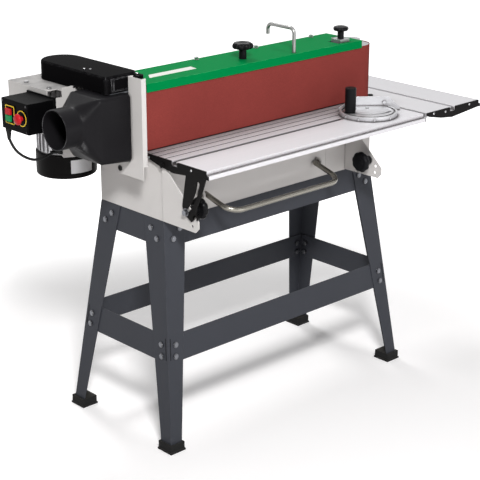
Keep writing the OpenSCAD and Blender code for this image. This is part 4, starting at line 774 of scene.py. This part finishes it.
# %% Openings of the hood
OPEN_X = (-94, -40)


def brick(name, low, high):
    x, y, z = zip(low, high)
    corners = [at(x[i], y[j], z[k]) for i in (0, 1) for j in (0, 1) for k in (0, 1)]
    sides = [[0, 1, 3, 2], [4, 6, 7, 5], [0, 4, 5, 1], [2, 3, 7, 6], [0, 2, 6, 4], [1, 5, 7, 3]]
    return piece(name, corners, sides)


def cut_away(thing, low, high):
    cutter = brick("cutter", low, high)
    step = thing.modifiers.new("cut", "BOOLEAN")
    step.object = cutter
    step.solver = "EXACT"
    bpy.context.view_layer.update()
    done = bpy.data.meshes.new_from_object(thing.evaluated_get(bpy.context.evaluated_depsgraph_get()))
    thing.modifiers.remove(step)
    thing.data = done
    bpy.data.objects.remove(cutter)


cut_away(hood, (OPEN_X[0], 9, HOOD_Z[1] - 10), (OPEN_X[1], 89, HOOD_Z[1] + 7))
cut_away(hood, (OPEN_X[0], 10, HOOD_Z[0] - 7), (OPEN_X[1], 88, HOOD_Z[0] + 15))
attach(hood, "machine")
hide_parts("dust_hood")
dress(hood, black_plastic)
print("hood has", len(hood.data.polygons), "faces")

# %% [markdown]
# The guard's front end is moulded too: a round pillar for its screw at the left corner, and a thin raised
# border around the panel beside it. Both are small enough to be pieces of their own on top of the solid.

# %% Guard front
pillar_profile = [(0, 921), (7, 921), (7, 951), (6.6, 953.6), (5.2, 955.6), (3, 956.6), (0, 956.8)]
pillar = turned("guard_pillar", pillar_profile, at(-102, 13, 0), (0, 0, 1), 40)
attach(pillar, "machine")
dress(pillar, guard_plastic)


def bordered(name, x0, x1, z0, z1, y, wide, tall):
    """Raised border of half-round section on a wall that faces -y."""
    points, faces = [], []
    section = [(0, 0.5), (0.25 * tall, 0.0), (tall, -0.16 * wide), (tall, -0.84 * wide),
               (0.25 * tall, -wide), (0, -wide - 0.5)]
    for sx, sz in ((-1, -1), (1, -1), (1, 1), (-1, 1)):
        for rise, out_by in section:
            cx = (x0 if sx < 0 else x1) + sx * out_by
            cz = (z0 if sz < 0 else z1) + sz * out_by
            points.append(at(cx, y - rise, cz))
    n = len(section)
    for i in range(4):
        for k in range(n - 1):
            j = (i + 1) % 4
            faces.append([i * n + k, j * n + k, j * n + k + 1, i * n + k + 1])
    return piece(name, points, faces, 50)


panel_border = bordered("guard_panel_border", -91, -33, 922, 957, 10, 4, 2.4)
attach(panel_border, "machine")
dress(panel_border, guard_plastic)
print("guard front moulded")

# %% [markdown]
# ## Hand knobs
# The knobs are moulded: soft lobes, a rounded rim and a dished top, on a plain stem. A turned profile whose
# radius dips between the lobes gives that form, which the plain solids only outline.

# %% Knob maker
def hand_knob(name, node, body, place, axis, across, thick, stem, stem_long, stud, lobes, deep):
    """Lobed knob in a solid's place; lobes is their count, deep their depth as a share of the radius."""
    r = across / 2
    profile = [(0, -stud), (4, -stud), (4, 0), (stem / 2, 0.2), (stem / 2, stem_long),
               (r * 0.55, stem_long + 0.4, 0.3), (r * 0.86, stem_long + 1.6, 0.8),
               (r * 0.97, stem_long + thick * 0.28, 1), (r, stem_long + thick * 0.5, 1),
               (r * 0.975, stem_long + thick * 0.72, 1), (r * 0.90, stem_long + thick * 0.90, 0.9),
               (r * 0.76, stem_long + thick, 0.6),
               (r * 0.5, stem_long + thick - 0.2, 0.2), (r * 0.42, stem_long + thick - 1.2, 0),
               (0, stem_long + thick - 1.6)]
    made = turned(name, profile, place, axis, 112, lobes, deep)
    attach(made, body)
    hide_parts(node)
    dress(made, knob_plastic)


CLAMP_Y, CLAMP_Z = -157, 643
hand_knob("cover_hand_knob", "lock_knob", "cover_knob", at(378, BELT_AXIS_Y, COVER_TOP + 0.3), (0, 0, 1),
          across=57, thick=17, stem=20, stem_long=26, stud=15, lobes=7, deep=0.17)
hand_knob("tracking_hand_knob", "tracking_knob", "track_knob", at(734, 31, COVER_TOP + 8.3), (0, 0, 1),
          across=43, thick=13, stem=18, stem_long=20, stud=12, lobes=9, deep=0.05)
clamp_knobs = (("left_clamp_knob", "left_lock_knob", "left_knob", 9.3, (1, 0, 0)),
               ("right_clamp_knob", "right_lock_knob", "right_knob", 654.2, (-1, 0, 0)))
for name, node, body, x, axis in clamp_knobs:
    hand_knob(name, node, body, at(x, CLAMP_Y, CLAMP_Z), axis,
              across=57, thick=18, stem=24, stem_long=22, stud=0, lobes=9, deep=0.06)
print("four knobs moulded")

# %% [markdown]
# ## Strain reliefs
# Where the lead enters a housing, a tapered rubber sleeve with rings keeps it from kinking. Its rings are
# steps in one turned profile, each a little thinner than the one before.

# %% Lead sleeves
def sleeve(name, place, axis):
    profile = [(0, -1), (7.5, -1), (7.5, 2), (6.6, 2.6)]
    for k in range(5):
        r = 6.4 - 0.42 * k
        h = 3.6 * k
        profile += [(r, 3 + h), (r, 5.2 + h), (r - 0.9, 5.6 + h), (r - 0.9, 6.2 + h)]
    profile += [(4.2, 22.5), (3.8, 24), (3.2, 24)]
    made = turned(name, profile, place, axis, 32)
    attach(made, "machine")
    dress(made, lead_rubber)


sleeve("switch_sleeve", at(*cord_route[0][:2], 818), (0, 0, -1))
sleeve("gland_sleeve", at(GLAND[0] + 6 * OUT[0], GLAND[1] + 6 * OUT[1], GLAND[2]), (OUT[0], OUT[1], 0))
print("two sleeves on the lead")

# %% [markdown]
# ## Emergency stop
# The red mushroom has a domed face and a soft rim over a plain stem. It is round throughout, so one turned
# profile makes all of it.

# %% Mushroom
STOP_Y, STOP_Z = 149, 862
stop_profile = [(0, -6), (8, -6), (8, -3.3), (6, -3.3), (6, 10), (10, 10.2), (13, 10.8), (14, 12.4),
                (13.7, 14.6), (12.4, 16.8), (10, 18.6), (6.5, 19.7), (3, 19.95), (0, 20)]
mushroom = turned("stop_mushroom", stop_profile, at(SWITCH_FACE, STOP_Y, STOP_Z), (-1, 0, 0), 64)
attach(mushroom, "emergency")
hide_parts("emergency_stop")
dress(mushroom, red_plastic)
print("mushroom turned")

# %% [markdown]
# ## Switch markings and bare plates
# A thin yellow line frames the two buttons and rings the emergency stop. It could be painted on, but a flat
# band keeps its edge sharp from near by. The plate on the fan cowl and the strip on the cover stay bare.

# %% Yellow lines
def flat_line(name, inner, outer, x, thick):
    """Band between two closed outlines in y and z, standing off a wall that faces -x."""
    n = len(inner)
    points = [at(x, *p) for p in inner] + [at(x, *p) for p in outer]
    points += [at(x - thick, *p) for p in inner] + [at(x - thick, *p) for p in outer]
    faces = []
    for k in range(n):
        j = (k + 1) % n
        faces += [[2 * n + k, 2 * n + j, 3 * n + j, 3 * n + k], [k, j, 2 * n + j, 2 * n + k],
                  [n + k, n + j, 3 * n + j, 3 * n + k]]
    return piece(name, points, faces)


def button_frame(grow):
    return [p[1:] for p in outline(0, 178.5 - grow, 216.5 + grow, 840 - grow, 886 + grow, 3 + grow, 5)]


def stop_ring(r):
    turns = [math.radians(5 * k) for k in range(72)]
    return [(STOP_Y + r * math.cos(a), STOP_Z + r * math.sin(a)) for a in turns]


yellow_lines = (("button_line", button_frame(-2.6), button_frame(0)),
                ("stop_line", stop_ring(17.4), stop_ring(19.9)))
for name, inner, outer in yellow_lines:
    line = flat_line(name, inner, outer, SWITCH_FACE - 1.9, 0.5)
    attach(line, "machine")
    dress(line, yellow_plastic)
print("yellow lines laid")

# %% Bare plates
PLATE_STEPS = 24
PLATE_START, PLATE_SWEEP = 242, 46
plate_section = ((77.8, 681), (78.4, 681), (78.4, 716), (77.8, 716))
plate_points, plate_faces = [], []
for k in range(PLATE_STEPS + 1):
    a = math.radians(PLATE_START + PLATE_SWEEP * k / PLATE_STEPS)
    dx, dy = math.cos(a), math.sin(a)
    plate_points += [at(MOTOR[0] + r * dx, MOTOR[1] + r * dy, z) for r, z in plate_section]
for k in range(PLATE_STEPS):
    plate_faces += [[4 * k + i, 4 * k + i + 1, 4 * k + i + 5, 4 * k + i + 4] for i in range(3)]
plate_faces += [[0, 1, 2, 3], [4 * PLATE_STEPS + i for i in range(4)]]
cowl_plate = piece("cowl_plate", plate_points, plate_faces)
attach(cowl_plate, "machine")
dress(cowl_plate, plate_metal)
strip_outline = [(58, 45), (213, 45), (217, 72), (77, 72)]
strip_points = [at(x, y, COVER_TOP + rise) for rise in (-0.2, 0.3) for x, y in strip_outline]
strip_faces = [[4, 5, 6, 7], [0, 1, 5, 4], [1, 2, 6, 5], [2, 3, 7, 6], [3, 0, 4, 7]]
strip = piece("cover_strip", strip_points, strip_faces)
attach(strip, "machine")
dress(strip, pale_strip)
print("bare plates set")

# %% [markdown]
# ## Small fasteners
# Screw heads hold the end plates, the belt guard and the switch box. Each is a low dome with a round
# socket. Each could be an object of its own, but all heads of one place are one mesh, which keeps the list
# of pieces short, and they ride with the piece that they hold.

# %% Screw heads
def heads(name, body, spots, axis, r=4.0, h=2.2, material=zinc):
    """Dome heads of radius r and height h in mm at spots on one body, all pointing along an axis."""
    points, faces = [], []
    profile = [(0, -1), (r, -1), (r, h * 0.35), (r * 0.86, h * 0.75), (r * 0.6, h), (r * 0.45, h),
               (r * 0.4, h * 0.35), (0, h * 0.3)]
    scaled = [(p[0] / 1000, p[1] / 1000, 0) for p in profile]
    for spot in spots:
        more = spun(scaled, at(*spot), axis, 24, start=len(points))
        points += more[0]
        faces += more[1]
    made = piece(name, points, faces)
    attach(made, body)
    dress(made, material)


heads("table_plate_screws", "table", [(-3, -20, 752), (-3, -178, 752)], (-1, 0, 0), 3.4, 1.8)
end_plate_spots = [(830, -233, 755), (880, -233, 752), (985, -233, 755)]
heads("end_plate_screws", "machine", end_plate_spots, (0, -1, 0), 3.2, 1.8)
heads("guard_screws", "machine", [(-82, 124, GUARD_TOP), (-75, 109, GUARD_TOP)], (0, 0, 1), 3, 1.2)
box_corners = [(SWITCH_FACE, y, z) for z in (829, 893) for y in (134, 231)]
heads("box_screws", "machine", box_corners, (-1, 0, 0), 3, 1.2, black_plastic)
heads("guard_lug_screw", "machine", [(27, 56, COVER_TOP + 14.8)], (0, 0, 1), 4, 2.4)
print("screw heads set")

# %% [markdown]
# Three hexagon bolts with washers hold the cover at its back edge. A turned profile with six sides is a
# hexagon, so the same helper makes the washer and the head.

# %% Hexagon bolts of the cover
def hex_bolts(name, body, spots, r, h):
    points, faces = [], []
    washer = [(0, 0), (r * 1.25, 0), (r * 1.25, 1.4), (r * 0.9, 1.5)]
    head = [(r, 1.2), (r, h - 0.8), (r * 0.84, h), (0, h)]
    for spot in spots:
        for profile, sides in ((washer, 24), (head, 6)):
            scaled = [(p[0] / 1000, p[1] / 1000, 0) for p in profile]
            more = spun(scaled, at(*spot), (0, 0, 1), sides, start=len(points))
            points += more[0]
            faces += more[1]
    made = piece(name, points, faces, 30)
    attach(made, body)
    dress(made, zinc)


hex_bolts("cover_bolts", "machine", [(x, 125, COVER_TOP) for x in (283, 498, 712)], 6, 7.5)
print("cover bolts set")

# %% [markdown]
# ## Pressed ribs and the arm's hook
# Each leg has two thin ribs pressed beside its fold where the braces are bolted on. They are too small for
# the solids, so four short strips of raised points stand on the legs' flanges. Their black, darker than the
# legs' paint, is painted shade along the pressings.

# %% Leg ribs
LEG_TOP = 594
SPLAY_X, SPLAY_Y = 56, 80
STAND_X = (4, 762)
STAND_Y = (-64, 186)


def leg_point(right, rear, z, along, off, side):
    """A point on a leg beside its fold: along one flange, standing off it."""
    t = (LEG_TOP - z) / LEG_TOP
    x, y = -SPLAY_X * t, -SPLAY_Y * t
    x, y = (x - off, y + along) if side else (x + along, y - off)
    return at(STAND_X[1] - x if right else STAND_X[0] + x, STAND_Y[1] - y if rear else STAND_Y[0] + y, z)


# The ribs get black paint, darker than the legs: painted shade along the pressings.
for right in (False, True):
    for rear in (False, True):
        points, faces = [], []
        for side in (False, True):
            base = len(points)
            for z in (240, 242, 295, 297):
                tall = 0.9 if z in (242, 295) else 0.0
                for along, off in ((7.2, -0.3), (7.5, tall), (8.7, tall), (9.0, -0.3)):
                    points.append(leg_point(right, rear, z, along, off, side))
            for i in range(3):
                for k in range(3):
                    first = base + 4 * i + k
                    faces.append([first, first + 1, first + 5, first + 4])
        ribs = piece("leg_ribs_%d%d" % (right, rear), points, faces)
        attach(ribs, "machine")
        dress(ribs, black_paint)
print("ribs on four legs")

# %% [markdown]
# The left tilt arm ends in a small open hook below its slot: a flat ring with a gap. A square section
# carried round an arc makes it, with the two ends closed.

# %% Arm hook
HOOK_Y, HOOK_Z = -190, 634
HOOK_STEPS = 18
HOOK_START, HOOK_SWEEP = -40, 250
hook_section = ((4.6, -3), (8.4, -3), (8.4, -0.1), (4.6, -0.1))
points, faces = [], []
for k in range(HOOK_STEPS + 1):
    a = math.radians(HOOK_START + HOOK_SWEEP * k / HOOK_STEPS)
    points += [at(x, HOOK_Y + r * math.cos(a), HOOK_Z + r * math.sin(a)) for r, x in hook_section]
for k in range(HOOK_STEPS):
    faces += [[4 * k + i, 4 * k + (i + 1) % 4, 4 * k + 4 + (i + 1) % 4, 4 * k + 4 + i] for i in range(4)]
faces += [[0, 1, 2, 3], [4 * HOOK_STEPS + i for i in range(4)]]
hook = piece("arm_hook", points, faces)
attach(hook, "table")
dress(hook, black_paint)
print("hook bent")

# %% [markdown]
# ## Floor and light
# The machine stands in a white studio. A brighter lamp would wash it out, so the white comes from the floor
# and the world themselves, and only for rays that show the background: those of the camera, and those seen
# in gloss or through glass. Near the machine the floor adds little of its own, so it still takes shadow.

# %% Background rays
def background_rays(tree):
    """Socket that is 1 for camera rays and for what gloss and glass show, and 0 for light on things."""
    rays = add(tree, "ShaderNodeLightPath")
    shiny = add(tree, "ShaderNodeMath", operation="ADD", use_clamp=True)
    seen = add(tree, "ShaderNodeMath", operation="ADD", use_clamp=True)
    tree.links.new(rays.outputs["Is Glossy Ray"], shiny.inputs[0])
    tree.links.new(rays.outputs["Is Transmission Ray"], shiny.inputs[1])
    tree.links.new(rays.outputs["Is Camera Ray"], seen.inputs[0])
    tree.links.new(shiny.outputs["Value"], seen.inputs[1])
    return seen.outputs["Value"]


print("background rays ready")

# %% Floor
SPAN = 16
FLOOR_Z = -0.0004
SHADOW_REACH = (0.75, 1.7)
floor_corners = [(x * SPAN, y * SPAN, FLOOR_Z) for x, y in ((-1, -1), (1, -1), (1, 1), (-1, 1))]
floor = piece("studio_floor", floor_corners, [[0, 1, 2, 3]])
ground = bpy.data.materials.new("studio floor")
ground.use_nodes = True
tree = ground.node_tree
shader = tree.nodes["Principled BSDF"]
shader.inputs["Base Color"].default_value = (0.93, 0.915, 0.915, 1)
shader.inputs["Roughness"].default_value = 0.9
shader.inputs["Specular IOR Level"].default_value = 0.1
glow = add(tree, "ShaderNodeEmission")
glow.inputs["Color"].default_value = (1, 1, 1, 1)
where = add(tree, "ShaderNodeTexCoord")
far = add(tree, "ShaderNodeVectorMath", operation="LENGTH")
level = add(tree, "ShaderNodeMapRange", interpolation_type="SMOOTHSTEP")
level.inputs["From Min"].default_value = SHADOW_REACH[0]
level.inputs["From Max"].default_value = SHADOW_REACH[1]
level.inputs["To Min"].default_value = 0.14
level.inputs["To Max"].default_value = 1.0
shown = add(tree, "ShaderNodeMath", operation="MULTIPLY")
total = add(tree, "ShaderNodeAddShader")
tree.links.new(where.outputs["Object"], far.inputs[0])
tree.links.new(far.outputs["Value"], level.inputs["Value"])
tree.links.new(background_rays(tree), shown.inputs[0])
tree.links.new(level.outputs["Result"], shown.inputs[1])
tree.links.new(shown.outputs["Value"], glow.inputs["Strength"])
tree.links.new(shader.outputs["BSDF"], total.inputs[0])
tree.links.new(glow.outputs["Emission"], total.inputs[1])
tree.links.new(total.outputs["Shader"], tree.nodes["Material Output"].inputs["Surface"])
dress(floor, ground)
print("floor laid")

# %% World
world = bpy.data.worlds.new("studio world")
bpy.context.scene.world = world
world.use_nodes = True
tree = world.node_tree
back = tree.nodes["Background"]
back.inputs["Color"].default_value = (1, 1, 1, 1)
pick = add(tree, "ShaderNodeMapRange")
pick.inputs["To Min"].default_value = 0.16
pick.inputs["To Max"].default_value = 1.0
tree.links.new(background_rays(tree), pick.inputs["Value"])
tree.links.new(pick.outputs["Result"], back.inputs["Strength"])
print("world set")

# %% [markdown]
# Four area lamps light the machine. A small strong one at the front left throws the shadow behind it, and a
# weaker one at the back throws the one in front. A broad low one fills what the table shades, and one
# overhead evens out the tops.

# %% Lamps
def softbox(name, place, aim, size, power):
    lamp = bpy.data.lights.new(name, "AREA")
    lamp.shape = "RECTANGLE"
    lamp.size, lamp.size_y = size
    lamp.energy = power
    made = bpy.data.objects.new(name, lamp)
    bpy.context.scene.collection.objects.link(made)
    made.location = place
    made.rotation_euler = (Vector(aim) - Vector(place)).to_track_quat("-Z", "Y").to_euler()


softbox("key_softbox", (-2.3, -2.9, 3.5), (0, 0, 0.5), (0.7, 0.7), 208)
softbox("rear_softbox", (0.4, 1.9, 3.6), (0, 0, 0.5), (0.7, 0.7), 42)
softbox("low_softbox", (0.9, -4.2, 1.1), (0, 0, 0.6), (2.2, 1.2), 30)
softbox("top_softbox", (0.2, 0.0, 3.9), (0, 0, 0.5), (2.6, 2.0), 12)
bpy.context.scene.view_settings.view_transform = "Standard"
print("lamps set")

# %% [markdown]
# ## Finish
# The scene is brought up to date once more at the end.

# %% Finish
bpy.context.view_layer.update()
